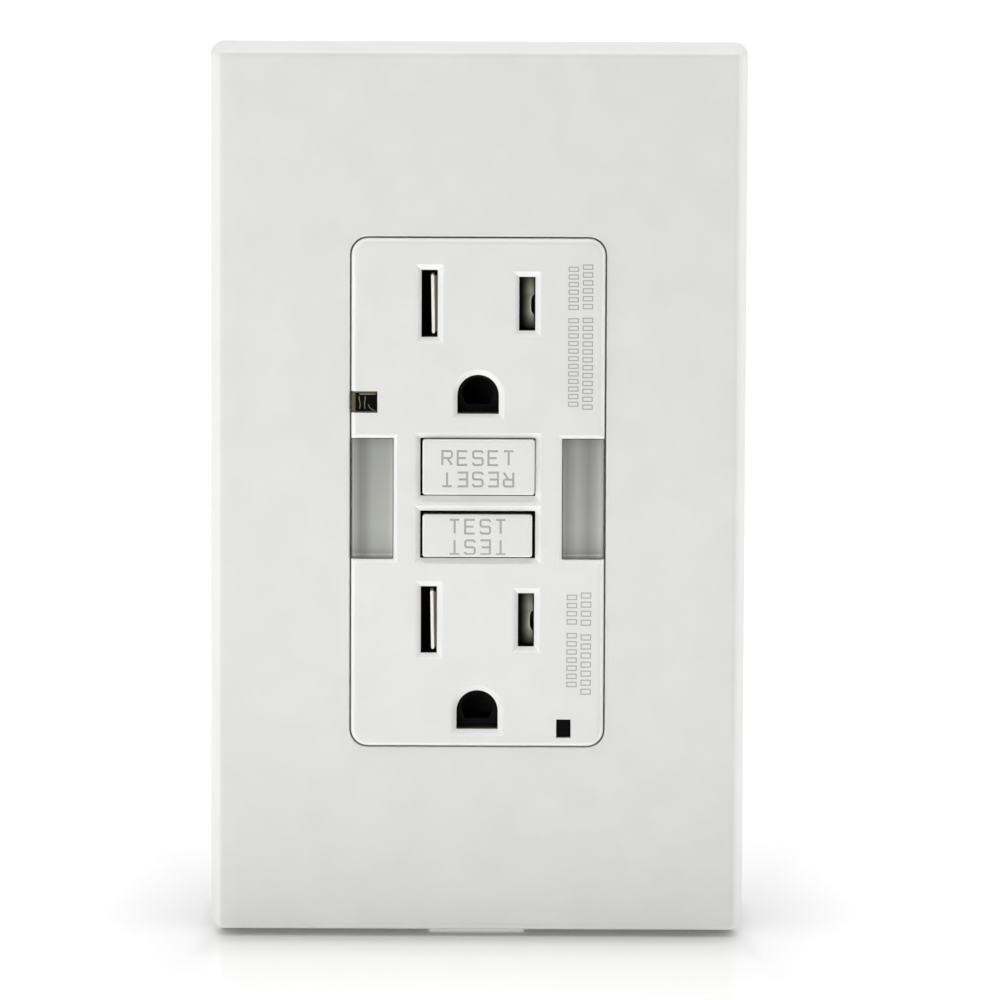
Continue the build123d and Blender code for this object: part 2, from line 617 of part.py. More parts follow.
with BuildPart() as reset_spring:
    sleeve([(0, RESET_Z)], (CAP_BACK + 0.3, FRAME_DEPTH), 2.6, 1.8)
reset_spring.part.label = "reset_spring"
export_step(reset_spring.part, "parts/reset_spring.step")

# Test button with its stem, and the leaf that the stem bends

TEST_CAP = (14.3, 5.55)
TEST_CAP_DEPTH = -7.3
STEM_END = 5.5 - TEST_TRAVEL
with BuildPart() as test_button:
    with BuildSketch(facing(CAP_BACK)):
        with Locations((-0.04, TEST_Z - 0.12)):
            RectangleRounded(TEST_CAP[0], TEST_CAP[1], 0.35)
    extrude(amount=CAP_BACK - TEST_CAP_DEPTH)
    fillet(test_button.faces().sort_by(Axis.Y)[0].edges(), 0.3)
    with BuildSketch(facing(TEST_CAP_DEPTH)):
        with Locations((0, TEST_Z + 1.12)):
            add(word("TEST"))
        with Locations(Location((0, TEST_Z - 1.58, 0), (0, 0, 180))):
            add(word("TEST"))
    extrude(amount=-LETTER_DEPTH, mode=Mode.SUBTRACT)
    post([(0, TEST_Z)], (CAP_BACK, STEM_END - 1.5), 1.3)
    post([(0, TEST_Z)], (CAP_BACK, STEM_END), 0.8)
test_button.part.label = "test_button"
export_step(test_button.part, "parts/test_button.step")

with BuildPart() as test_contact_arm:
    leaf_y = (STEM_END + 0.3, STEM_END + 0.6)
    block((-1.2, 1.2), leaf_y, TEST_ARM_Z)
    round_end(0, 2.4, leaf_y, TEST_ARM_Z[0])
test_contact_arm.part.label = "test_contact_arm"
export_step(test_contact_arm.part, "parts/test_contact_arm.step")

# ---------------------------------------------------------------------------------------------
# Contact carriage: lifted by the reset pin, it raises the two contact arms

with BuildPart() as contact_carriage:
    block((-3.5, 3.5), CARRIAGE_Y, (-3.0, RESET_Z + 4.6))
    block((-3.5, 3.5), (CARRIAGE_Y[0], CARRIAGE_Y[0] + 1.5), (-8.0, -3.0))
    block((-8.0, 8.0), (CARRIAGE_Y[0], CARRIAGE_Y[0] + 1.5), (-8.0, CONTACT_Z))
    post([(0, RESET_Z)], CARRIAGE_Y, 1.6, Mode.SUBTRACT)
    post([(0, RESET_Z)], (CARRIAGE_Y[0], CARRIAGE_Y[0] + 1.0), 2.7, Mode.SUBTRACT)
contact_carriage.part.label = "contact_carriage"
export_step(contact_carriage.part, "parts/contact_carriage.step")

with BuildPart() as carriage_spring:
    sleeve([(0, RESET_Z)], (FRAME_BACK, CARRIAGE_Y[0] + 1.0), 2.4, 1.8)
carriage_spring.part.label = "carriage_spring"
export_step(carriage_spring.part, "parts/carriage_spring.step")

for side, name in ((-1, "neutral"), (1, "hot")):
    with BuildPart() as contact_arm:
        arm_x = (side * ARM_X[0], side * ARM_X[1])
        block(arm_x, ARM_Y, (CONTACT_Z - 1.4, ARM_HINGE_Z))
        round_end(side * BLADE_X, ARM_WIDTH, ARM_Y, ARM_HINGE_Z)
    contact_arm.part.label = f"contact_arm_{name}"
    export_step(contact_arm.part, f"parts/contact_arm_{name}.step")
    with BuildPart() as moving_contact:
        post([(side * BLADE_X, CONTACT_Z)], (ARM_Y[0] - 0.8, ARM_Y[0]), 1.2)
        fillet(moving_contact.edges().filter_by(GeomType.CIRCLE).sort_by(Axis.Y)[0], 0.3)
    moving_contact.part.label = f"moving_contact_{name}"
    export_step(moving_contact.part, f"parts/moving_contact_{name}.step")

with BuildPart() as arm_posts:
    for side in SIDES:
        post_x = (side * ARM_X[0], side * ARM_X[1])
        block(post_x, (CARRIAGE_Y[0], BOARD_DEPTH), (ARM_HINGE_Z - 0.8, ARM_HINGE_Z + 1.0))
arm_posts.part.label = "arm_posts"
export_step(arm_posts.part, "parts/arm_posts.step")

# ---------------------------------------------------------------------------------------------
# Trip solenoid, its plunger and the latch that the plunger pulls from under the reset pin

COIL_Z = (-30.0, -15.0)
PLUNGER_TOP = -9.6
CHEEK = 0.8
with BuildPart() as solenoid_bobbin:
    with Locations((0, SOLENOID_Y, sum(COIL_Z) / 2)):
        Cylinder(2.0, COIL_Z[1] - COIL_Z[0])
    with Locations(*[(0, SOLENOID_Y, z) for z in (COIL_Z[0] + CHEEK / 2, COIL_Z[1] - CHEEK / 2)]):
        Cylinder(3.9, CHEEK)
    with Locations((0, SOLENOID_Y, sum(COIL_Z) / 2)):
        Cylinder(1.6, COIL_Z[1] - COIL_Z[0], mode=Mode.SUBTRACT)
solenoid_bobbin.part.label = "solenoid_bobbin"
export_step(solenoid_bobbin.part, "parts/solenoid_bobbin.step")

with BuildPart() as solenoid_coil:
    with Locations((0, SOLENOID_Y, sum(COIL_Z) / 2)):
        Cylinder(3.6, COIL_Z[1] - COIL_Z[0] - 2 * CHEEK)
        Cylinder(2.0, COIL_Z[1] - COIL_Z[0] - 2 * CHEEK, mode=Mode.SUBTRACT)
solenoid_coil.part.label = "solenoid_coil"
export_step(solenoid_coil.part, "parts/solenoid_coil.step")

with BuildPart() as solenoid_frame:
    for z in ((COIL_Z[0] - CHEEK, COIL_Z[0]), (COIL_Z[1], COIL_Z[1] + CHEEK)):
        block((-4, 4), (11.4, BOARD_DEPTH), z)
    block((-4, 4), (19.2, BOARD_DEPTH), COIL_Z)
    with Locations((0, SOLENOID_Y, COIL_Z[1] + CHEEK / 2)):
        Cylinder(1.6, 2 * CHEEK, mode=Mode.SUBTRACT)
solenoid_frame.part.label = "solenoid_frame"
export_step(solenoid_frame.part, "parts/solenoid_frame.step")

with BuildPart() as plunger:
    with Locations((0, SOLENOID_Y, (PLUNGER_TOP - 24.0) / 2)):
        Cylinder(1.4, PLUNGER_TOP + 24.0)
    with Locations((0, SOLENOID_Y, -10.5)):
        Cylinder(2.2, 1.0)
plunger.part.label = "plunger"
export_step(plunger.part, "parts/plunger.step")

with BuildPart() as plunger_spring:
    with Locations((0, SOLENOID_Y, (COIL_Z[1] + CHEEK - 11.0) / 2)):
        Cylinder(2.2, -11.0 - COIL_Z[1] - CHEEK)
        Cylinder(1.6, -11.0 - COIL_Z[1] - CHEEK, mode=Mode.SUBTRACT)
plunger_spring.part.label = "plunger_spring"
export_step(plunger_spring.part, "parts/plunger_spring.step")

LATCH_Y = (16.7, 17.3)
with BuildPart() as latch_slide:
    block((-2.6, 2.6), LATCH_Y, (PLUNGER_TOP + 0.6, RESET_Z + 5.1))
    block((-2.6, 2.6), (13.4, LATCH_Y[1]), (PLUNGER_TOP, PLUNGER_TOP + 0.6))
    block((-1.5, 1.5), LATCH_Y, (RESET_Z - 1.7, RESET_Z + 3.7), Mode.SUBTRACT)
latch_slide.part.label = "latch_slide"
export_step(latch_slide.part, "parts/latch_slide.step")

# ---------------------------------------------------------------------------------------------
# Fault sensor: two ring cores on one bobbin, round the line conductors

CORE_SPAN = 2.6
CORE_DEPTHS = (12.9, 16.1)
BOBBIN_Y = (12.4, BOARD_DEPTH)
with BuildPart() as transformer_bobbin:
    post([(0, SENSOR_Z)], BOBBIN_Y, 9.0)
    post([(0, SENSOR_Z)], BOBBIN_Y, 3.6, Mode.SUBTRACT)
    for y in CORE_DEPTHS:
        with BuildSketch(facing(y + CORE_SPAN)):
            with Locations((0, SENSOR_Z)):
                Circle(9.5)
                Circle(4.6, mode=Mode.SUBTRACT)
        extrude(amount=CORE_SPAN, mode=Mode.SUBTRACT)
transformer_bobbin.part.label = "transformer_bobbin"
export_step(transformer_bobbin.part, "parts/transformer_bobbin.step")

for y, name in zip(CORE_DEPTHS, ("sense_core", "neutral_core")):
    with BuildPart() as core:
        sleeve([(0, SENSOR_Z)], (y + 0.05, y + CORE_SPAN - 0.05), 8.4, 4.7)
        fillet(core.edges().filter_by(GeomType.CIRCLE).sort_by(SortBy.LENGTH)[-2:], 0.6)
    core.part.label = name
    export_step(core.part, f"parts/{name}.step")

WIRE_Y = 11.75
with BuildPart() as line_conductors:
    for side in SIDES:
        with BuildLine() as route:
            FilletPolyline(
                (side * 1.8, BOARD_DEPTH, SENSOR_Z),
                (side * 1.8, WIRE_Y, SENSOR_Z),
                (side * BLADE_X, WIRE_Y, 15.2),
                (side * BLADE_X, BOARD_DEPTH, 15.2),
                radius=1.2,
            )
        with BuildSketch(facing(BOARD_DEPTH)):
            with Locations((side * 1.8, SENSOR_Z)):
                Circle(0.6)
        sweep(path=route.wires()[0])
line_conductors.part.label = "line_conductors"
export_step(line_conductors.part, "parts/line_conductors.step")

# ---------------------------------------------------------------------------------------------
# Circuit board and what is soldered to it

with BuildPart() as circuit_board:
    with BuildSketch(facing(BOARD_BACK)):
        Rectangle(37.6, 64)
        with Locations(*[(x * 18.8, z * 32) for x in SIDES for z in SIDES]):
            Rectangle(8.4, 8.4, mode=Mode.SUBTRACT)
    extrude(amount=BOARD_THICKNESS)
circuit_board.part.label = "circuit_board"
export_step(circuit_board.part, "parts/circuit_board.step")

with BuildPart() as surge_disc:
    with Locations((-11.5, 15.4, -23.5)):
        Cylinder(4.3, 3.2, rotation=(0, 90, 0))
    fillet(surge_disc.edges().filter_by(GeomType.CIRCLE), 0.8)
    post([(-11.5, -21.0), (-11.5, -26.0)], (18.4, BOARD_DEPTH), 0.35)
surge_disc.part.label = "surge_disc"
export_step(surge_disc.part, "parts/surge_disc.step")

with BuildPart() as film_capacitor:
    block((8.4, 12.4), (13.8, 19.6), (-28.6, -20.0))
    fillet(film_capacitor.edges(), 0.4)
    post([(10.4, -26.8), (10.4, -21.8)], (19.4, BOARD_DEPTH), 0.3)
film_capacitor.part.label = "film_capacitor"
export_step(film_capacitor.part, "parts/film_capacitor.step")

with BuildPart() as switching_thyristor:
    with BuildSketch(facing(18.4)):
        with Locations((10.5, -15.0)):
            Circle(2.3)
        with Locations((10.5, -17.3)):
            Rectangle(6, 2.4, mode=Mode.SUBTRACT)
    extrude(amount=4.6)
    post([(10.5 + step, -15.0) for step in (-1.27, 0, 1.27)], (18.4, BOARD_DEPTH), 0.25)
switching_thyristor.part.label = "switching_thyristor"
export_step(switching_thyristor.part, "parts/switching_thyristor.step")

with BuildPart() as controller_chip:
    chip_y = (BOARD_BACK + 0.1, BOARD_BACK + 1.5)
    block((-2.0, 2.0), chip_y, (-4.9, 4.9))
    for side in SIDES:
        for step in range(8):
            z = 4.445 - 1.27 * step
            block((side * 2.0, side * 3.0), (BOARD_BACK, BOARD_BACK + 0.4), (z - 0.2, z + 0.2))
controller_chip.part.label = "controller_chip"
export_step(controller_chip.part, "parts/controller_chip.step")

with BuildPart() as resistors:
    for x in (-9, -6, 6, 9):
        for z in (-12, -6, 10):
            block((x - 0.8, x + 0.8), (BOARD_BACK, BOARD_BACK + 0.6), (z - 1.6, z + 1.6))
resistors.part.label = "resistors"
export_step(resistors.part, "parts/resistors.step")

# ---------------------------------------------------------------------------------------------
# Lights: lenses, light pipe and their lamps

LENS_FRONT = FACE_DEPTH + 0.4
for side, name in ((-1, "left"), (1, "right")):
    with BuildPart() as lens:
        lens_x = (side * (LENS_X[0] + LIGHT_CLEARANCE), side * (LENS_X[1] - LIGHT_CLEARANCE))
        lens_z = (LENS_Z[0] + LIGHT_CLEARANCE, LENS_Z[1] - LIGHT_CLEARANCE)
        block(lens_x, (LENS_FRONT, FACE_BACK + 0.2), lens_z)
        outer_edge = lens.edges().filter_by(Axis.Z).group_by(Axis.Y)[0].sort_by(Axis.X)
        fillet(outer_edge[0 if side < 0 else -1], 0.5)
        block((side * 12.3, side * 15.0), (FACE_BACK + 0.2, 3.2), (-3.7, 2.2))
    lens.part.label = f"guide_light_lens_{name}"
    export_step(lens.part, f"parts/guide_light_lens_{name}.step")

with BuildPart() as guide_leds:
    lamp_places = [(side * 13.75, -0.75) for side in SIDES]
    post(lamp_places, (3.5, 8.0), 1.5)
    fillet(guide_leds.edges().filter_by(GeomType.CIRCLE).group_by(Axis.Y)[0], 1.2)
    for x, z in lamp_places:
        post([(x, z - 1.0), (x, z + 1.0)], (8.0, BOARD_DEPTH), 0.25)
guide_leds.part.label = "guide_leds"
export_step(guide_leds.part, "parts/guide_leds.step")

with BuildPart() as photocell_window:
    block(
        (PHOTOCELL_X[0] + LIGHT_CLEARANCE, PHOTOCELL_X[1] - LIGHT_CLEARANCE),
        (FACE_DEPTH + 0.3, FACE_BACK + 0.1),
        (PHOTOCELL_Z[0] + LIGHT_CLEARANCE, PHOTOCELL_Z[1] - LIGHT_CLEARANCE),
    )
photocell_window.part.label = "photocell_window"
export_step(photocell_window.part, "parts/photocell_window.step")

PHOTOCELL_MIDDLE_Z = (PHOTOCELL_Z[0] + PHOTOCELL_Z[1]) / 2
with BuildPart() as photocell:
    post([(-13.7, PHOTOCELL_MIDDLE_Z)], (-4.6, -2.6), 1.3)
    lead_places = [(-14.0, PHOTOCELL_MIDDLE_Z - 0.6), (-14.0, PHOTOCELL_MIDDLE_Z + 0.6)]
    post(lead_places, (-2.6, BOARD_DEPTH), 0.25)
photocell.part.label = "photocell"
export_step(photocell.part, "parts/photocell.step")

PIPE_END = 17.0
with BuildPart() as status_light_pipe:
    with BuildSketch(facing(PIPE_END)):
        with Locations((STATUS_X, STATUS_Z)):
            RectangleRounded(STATUS_WIDTH - 0.1, STATUS_HEIGHT - 0.15, 0.15)
    extrude(amount=PIPE_END + 6.3)
status_light_pipe.part.label = "status_light_pipe"
export_step(status_light_pipe.part, "parts/status_light_pipe.step")

with BuildPart() as status_led:
    block((STATUS_X - 1.0, STATUS_X + 1.0), (PIPE_END, BOARD_DEPTH), (STATUS_Z - 1.05, STATUS_Z + 1.15))
status_led.part.label = "status_led"
export_step(status_led.part, "parts/status_led.step")
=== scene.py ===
import json
import math

import bmesh
import bpy
from mathutils import Matrix, Vector


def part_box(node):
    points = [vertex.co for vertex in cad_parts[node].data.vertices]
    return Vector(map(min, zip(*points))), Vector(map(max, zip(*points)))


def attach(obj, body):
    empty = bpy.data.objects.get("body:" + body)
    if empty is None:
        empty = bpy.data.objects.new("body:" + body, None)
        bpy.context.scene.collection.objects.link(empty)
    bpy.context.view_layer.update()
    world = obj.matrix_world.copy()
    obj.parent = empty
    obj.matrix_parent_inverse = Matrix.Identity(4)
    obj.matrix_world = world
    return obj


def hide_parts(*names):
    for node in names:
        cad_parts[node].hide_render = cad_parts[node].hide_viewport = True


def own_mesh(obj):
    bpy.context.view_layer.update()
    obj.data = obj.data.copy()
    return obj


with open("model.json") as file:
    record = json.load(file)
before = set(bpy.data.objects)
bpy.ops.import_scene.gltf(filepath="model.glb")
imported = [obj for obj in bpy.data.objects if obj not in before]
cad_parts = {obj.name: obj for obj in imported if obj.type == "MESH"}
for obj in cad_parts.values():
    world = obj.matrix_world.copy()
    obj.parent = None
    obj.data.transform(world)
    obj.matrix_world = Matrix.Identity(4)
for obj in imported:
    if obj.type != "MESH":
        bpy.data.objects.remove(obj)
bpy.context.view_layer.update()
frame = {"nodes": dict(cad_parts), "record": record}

# +X is right, +Y goes into the wall and +Z is up, with the wall's surface at Y = 0.
MM = 0.001
NODES = frame["nodes"]
ROOT = "body"

FACE_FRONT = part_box("front_cover")[0][1]
MOUNTS = {mount["name"]: Vector(mount["pos_m"]) for mount in frame["record"]["mounts"]}
BLADE_SLOTS = [MOUNTS["upper_receptacle"].z, MOUNTS["lower_receptacle"].z]
BLADE_X = 6.35 * MM
SLOT_HALF_WIDTH = 1.05 * MM
SLOT_LENGTHS = {"neutral": 8.75 * MM, "hot": 7.0 * MM}
SLOT_SIDES = {"neutral": -1, "hot": 1}
GROUND_DROP = 12.0 * MM
GROUND_HOLES = [z - GROUND_DROP for z in BLADE_SLOTS]
BEVEL = 0.75 * MM


# ------------------------------------------------------------------------------------ materials

def new_surface(name):
    """A material with its Principled shader, and object coordinates to place textures by."""
    material = bpy.data.materials.new(name)
    material.use_nodes = True
    nodes = material.node_tree.nodes
    shader = nodes["Principled BSDF"]
    coordinates = nodes.new("ShaderNodeTexCoord")
    return material, shader, coordinates.outputs["Object"]


def link(material, source, target):
    material.node_tree.links.new(source, target)


def noise(material, place, size, detail=3.0, stretch=(1, 1, 1)):
    """Noise whose features are about size metres across, drawn out along stretch."""
    nodes = material.node_tree.nodes
    mapping = nodes.new("ShaderNodeMapping")
    mapping.inputs["Scale"].default_value = [1 / s for s in stretch]
    link(material, place, mapping.inputs["Vector"])
    texture = nodes.new("ShaderNodeTexNoise")
    texture.inputs["Scale"].default_value = 1 / size
    texture.inputs["Detail"].default_value = detail
    link(material, mapping.outputs["Vector"], texture.inputs["Vector"])
    return texture.outputs["Fac"]


def ramp(material, source, low, high, low_at=0.3, high_at=0.7):
    """A colour that runs from low to high as source does."""
    node = material.node_tree.nodes.new("ShaderNodeValToRGB")
    node.color_ramp.elements[0].position = low_at
    node.color_ramp.elements[1].position = high_at
    node.color_ramp.elements[0].color = (*low, 1)
    node.color_ramp.elements[1].color = (*high, 1)
    link(material, source, node.inputs["Fac"])
    return node.outputs["Color"]


def between(material, source, low, high):
    """A number that runs from low to high as source runs from 0 to 1."""
    node = material.node_tree.nodes.new("ShaderNodeMapRange")
    node.inputs["To Min"].default_value = low
    node.inputs["To Max"].default_value = high
    link(material, source, node.inputs["Value"])
    return node.outputs["Result"]


def bump(material, shader, source, depth, strength=1.0):
    """Relief of the given depth in metres."""
    node = material.node_tree.nodes.new("ShaderNodeBump")
    node.inputs["Distance"].default_value = depth
    node.inputs["Strength"].default_value = strength
    link(material, source, node.inputs["Height"])
    link(material, node.outputs["Normal"], shader.inputs["Normal"])


def shades(colour, spread):
    """A darker and a lighter version of one colour."""
    return [c * (1 - spread) for c in colour], [min(1.0, c * (1 + spread)) for c in colour]


def axis_value(material, place, axis):
    """One coordinate, as a number."""
    axes = material.node_tree.nodes.new("ShaderNodeSeparateXYZ")
    link(material, place, axes.inputs["Vector"])
    return axes.outputs[axis]


def calculate(material, operation, first, second, third=0.0):
    """A Math node on two or three sources, each a socket or a number."""
    node = material.node_tree.nodes.new("ShaderNodeMath")
    node.operation = operation
    for slot, source in zip(node.inputs, (first, second, third)):
        if isinstance(source, float):
            slot.default_value = source
        else:
            link(material, source, slot)
    return node.outputs["Value"]


def tone_curve(material, source, tones, tint):
    """A colour that follows a list of positions and brightnesses."""
    node = material.node_tree.nodes.new("ShaderNodeValToRGB")
    elements = node.color_ramp.elements
    for spare in range(len(tones) - len(elements)):
        elements.new(0.5)
    for element, (position, tone) in zip(elements, tones):
        element.position = position
        element.color = (tone * tint[0], tone * tint[1], tone * tint[2], 1)
    link(material, source, node.inputs["Fac"])
    return node.outputs["Color"]


def span_of(material, source, low, high):
    """A number that runs from 0 to 1 as source runs from low to high."""
    node = material.node_tree.nodes.new("ShaderNodeMapRange")
    node.inputs["From Min"].default_value = low
    node.inputs["From Max"].default_value = high
    link(material, source, node.inputs["Value"])
    return node.outputs["Result"]


def multiply(material, first, second):
    """The product of two colours."""
    node = material.node_tree.nodes.new("ShaderNodeVectorMath")
    node.operation = "MULTIPLY"
    link(material, first, node.inputs[0])
    link(material, second, node.inputs[1])
    return node.outputs["Vector"]


def painted_edge_highlight(material, gain):
    """A painted highlight: a factor that is 1 on surfaces facing the room and rises to gain on bevels and
    fillets.
    """
    node = material.node_tree.nodes.new("ShaderNodeTexCoord")
    facing = axis_value(material, node.outputs["Normal"], "Y")
    tilt = span_of(material, facing, -0.99, -0.8)
    return ramp(material, tilt, (1.0, 1.0, 1.0), (gain, gain, gain), 0.0, 1.0)


# Painted shade on the face's bevels. Beside a bevel that looks right, one that looks up counts by
# BEVEL_SHADE_UPWARD. The painted grey grows from BEVEL_SHADE_AT_RIM by BEVEL_SHADE_BY_DEPTH from the
# face down to the hole.
BEVEL_SHADE_HALF_WIDTH = 10.0 * MM
BEVEL_SHADE_HALF_HEIGHT = 32.3 * MM
BEVEL_SHADE_UPWARD = 0.6
BEVEL_SHADE_AT_RIM = 0.15
BEVEL_SHADE_BY_DEPTH = 0.9


def painted_bevel_shade(material, place):
    """Painted shade: in the middle of the face, bevels that look right or up are painted greyer towards the
    hole.
    """
    node = material.node_tree.nodes.new("ShaderNodeTexCoord")
    right = axis_value(material, node.outputs["Normal"], "X")
    upward = axis_value(material, node.outputs["Normal"], "Z")
    leaning = calculate(material, "MULTIPLY_ADD", upward, BEVEL_SHADE_UPWARD, right)
    deep = span_of(material, axis_value(material, place, "Y"), FACE_FRONT, FACE_FRONT + BEVEL)
    growth = calculate(material, "MULTIPLY_ADD", deep, BEVEL_SHADE_BY_DEPTH, BEVEL_SHADE_AT_RIM)
    leaning = calculate(material, "MULTIPLY", leaning, growth)
    inside = calculate(material, "COMPARE", axis_value(material, place, "X"), 0.0, BEVEL_SHADE_HALF_WIDTH)
    level = calculate(material, "COMPARE", axis_value(material, place, "Z"), 0.0, BEVEL_SHADE_HALF_HEIGHT)
    masked = calculate(material, "MULTIPLY", leaning, calculate(material, "MULTIPLY", inside, level))
    shades_at = ((0.1, 1.03), (0.5, 1.0), (1.0, 0.82))
    return tone_curve(material, span_of(material, masked, -0.8, 0.8), shades_at, (1.0, 1.0, 1.0))


def plastic(
    name, colour, roughness,
    grain=0.25, relief=0.004, spread=0.02, coat=0.0, shine=0.5, edge=1.0, bevel_shading=False,
):
    """Moulded plastic: a fine spark-eroded grain and slow shifts of shade and gloss.

    grain and relief are in millimetres, edge brightens bevels and fillets with a painted highlight,
    and the last flag greys the bevels of the face's openings with painted shade.
    """
    material, shader, place = new_surface(name)
    low, high = shades(colour, spread)
    tone = ramp(material, noise(material, place, 6 * MM), low, high)
    # bevels and fillets get a painted highlight
    if edge > 1:
        tone = multiply(material, tone, painted_edge_highlight(material, edge))
    # the bevels of the face's openings get painted shade
    if bevel_shading:
        tone = multiply(material, tone, painted_bevel_shade(material, place))
    link(material, tone, shader.inputs["Base Color"])
    fine = noise(material, place, grain * MM, 4.0)
    gloss = between(material, fine, roughness - 0.06, roughness + 0.06)
    link(material, gloss, shader.inputs["Roughness"])
    shader.inputs["IOR"].default_value = 1.5
    shader.inputs["Specular IOR Level"].default_value = shine
    shader.inputs["Coat Weight"].default_value = coat
    shader.inputs["Coat Roughness"].default_value = 0.15
    bump(material, shader, fine, relief * MM)
    return material


def metal(name, colour, roughness, grain=0.12, stretch=(1, 1, 12), relief=0.004, spread=0.12):
    """Rolled or turned metal: lines drawn out along one axis, and cloudy tarnish."""
    material, shader, place = new_surface(name)
    low, high = shades(colour, spread)
    cloud = noise(material, place, 3 * MM, 5.0)
    link(material, ramp(material, cloud, low, high), shader.inputs["Base Color"])
    lines = noise(material, place, grain * MM, 2.0, stretch)
    gloss = between(material, lines, roughness - 0.08, roughness + 0.12)
    link(material, gloss, shader.inputs["Roughness"])
    shader.inputs["Metallic"].default_value = 1.0
    bump(material, shader, lines, relief * MM)
    return material


def speckled(name, colour, fleck, roughness, size=0.3, relief=0.01):
    """Filled moulding compound or fibre board: flecks of a second colour."""
    material, shader, place = new_surface(name)
    flecks = noise(material, place, size * MM, 6.0)
    link(material, ramp(material, flecks, colour, fleck, 0.55, 0.8), shader.inputs["Base Color"])
    link(material, between(material, flecks, roughness - 0.1, roughness + 0.1), shader.inputs["Roughness"])
    bump(material, shader, flecks, relief * MM)
    return material


def clear(name, colour, roughness, transmission):
    """Clear, tinted or frosted plastic with a faint ripple."""
    material, shader, place = new_surface(name)
    low, high = shades(colour, 0.06)
    ripple = noise(material, place, 1.2 * MM, 3.0)
    link(material, ramp(material, ripple, low, high), shader.inputs["Base Color"])
    link(material, between(material, ripple, roughness, roughness + 0.08), shader.inputs["Roughness"])
    shader.inputs["Transmission Weight"].default_value = transmission
    shader.inputs["IOR"].default_value = 1.49
    bump(material, shader, ripple, 0.002 * MM)
    return material


def laminate(name):
    """Solder mask over copper: a fine maze of slightly lighter tracks."""
    material, shader, place = new_surface(name)
    nodes = material.node_tree.nodes
    cells = nodes.new("ShaderNodeTexBrick")
    cells.inputs["Scale"].default_value = 160
    cells.inputs["Mortar Size"].default_value = 0.06
    cells.inputs["Color1"].default_value = (0.015, 0.13, 0.06, 1)
    cells.inputs["Color2"].default_value = (0.02, 0.16, 0.075, 1)
    cells.inputs["Mortar"].default_value = (0.01, 0.075, 0.035, 1)
    turned = nodes.new("ShaderNodeMapping")
    turned.inputs["Rotation"].default_value = (math.radians(90), 0, 0)
    link(material, place, turned.inputs["Vector"])
    link(material, turned.outputs["Vector"], cells.inputs["Vector"])
    link(material, cells.outputs["Color"], shader.inputs["Base Color"])
    link(material, between(material, cells.outputs["Fac"], 0.3, 0.42), shader.inputs["Roughness"])
    bump(material, shader, cells.outputs["Fac"], 0.02 * MM, 0.5)
    return material


WHITE = (0.80, 0.80, 0.785)
MATERIALS = {
    "plate": plastic("plate_plastic", WHITE, 0.42, coat=0.1, edge=1.1),
    "face": plastic("face_plastic", (0.82, 0.82, 0.805), 0.38, coat=0.1, edge=1.17, bevel_shading=True),
    "under": plastic("frame_plastic", (0.10, 0.10, 0.10), 0.55, spread=0.1),
    "inner": plastic("inner_plastic", (0.035, 0.035, 0.035), 0.6, spread=0.15, shine=0.2),
    "nylon": plastic("natural_nylon", (0.60, 0.57, 0.48), 0.45, spread=0.05),
    "housing": speckled("housing_plastic", (0.035, 0.036, 0.04), (0.09, 0.09, 0.095), 0.5, 0.18),
    "fibre": speckled("fibre", (0.30, 0.05, 0.03), (0.42, 0.10, 0.06), 0.8),
    "steel": metal("zinc_steel", (0.58, 0.57, 0.54), 0.34),
    "spring": metal("spring_wire", (0.62, 0.61, 0.6), 0.25, stretch=(1, 1, 1)),
    "white_paint": plastic("white_screw", WHITE, 0.25, grain=0.5, coat=0.4),
    "nickel": metal("nickel_plate", (0.66, 0.64, 0.6), 0.22, stretch=(1, 6, 1)),
    "brass": metal("brass", (0.60, 0.40, 0.16), 0.28),
    "bronze": metal("contact_bronze", (0.03, 0.024, 0.016), 0.6, spread=0.2),
    "silver": metal("contact_silver", (0.78, 0.77, 0.75), 0.3, stretch=(1, 1, 1)),
    "green_paint": plastic("ground_green", (0.03, 0.22, 0.07), 0.3, grain=0.4, spread=0.1, coat=0.4),
    "enamel": metal("coil_wire", (0.55, 0.20, 0.07), 0.3, stretch=(1, 1, 1)),
    "core": speckled("core_coating", (0.03, 0.05, 0.14), (0.06, 0.09, 0.2), 0.45),
    "board": laminate("board_laminate"),
    "disc": plastic("disc_coating", (0.03, 0.09, 0.30), 0.3, grain=0.8, relief=0.02, spread=0.08, coat=0.5),
    "capacitor": plastic("capacitor_case", (0.38, 0.03, 0.02), 0.32, grain=0.5, spread=0.08, coat=0.3),
    "chip": speckled("chip_package", (0.012, 0.012, 0.013), (0.03, 0.03, 0.03), 0.55, 0.12),
    "lamp": clear("lamp_epoxy", (0.85, 0.9, 0.88), 0.04, 0.85),
    "smoke": plastic("smoked_window", (0.004, 0.0035, 0.0025), 0.15, spread=0.3, shine=0.04),
    "dark": plastic("painted_shade_plastic", (0.007, 0.007, 0.007), 0.6, spread=0.2, shine=0.1),
    "tarnish": plastic("tarnished_edge", (0.12, 0.093, 0.045), 0.5, grain=0.12, spread=0.4),
    "brown_edge": plastic("brown_edge", (0.17, 0.14, 0.085), 0.5, grain=0.12, spread=0.3),
    # near white, with a glow added below: a painted highlight on the clip's edge
    "clip_edge_highlight": plastic("clip_edge_highlight", (0.97, 0.96, 0.9), 0.3, grain=0.1, relief=0.01, spread=0.03),
    # pale grey for what shows through the photocell window: painted glints
    "glint": plastic("inner_glints", (0.31, 0.30, 0.25), 0.3, grain=0.15, spread=0.3),
    "mark": plastic("face_marks", (0.43, 0.43, 0.415), 0.5),
    "pipe": plastic("dark_pipe", (0.003, 0.003, 0.003), 0.4, spread=0.2, shine=0.03),
}


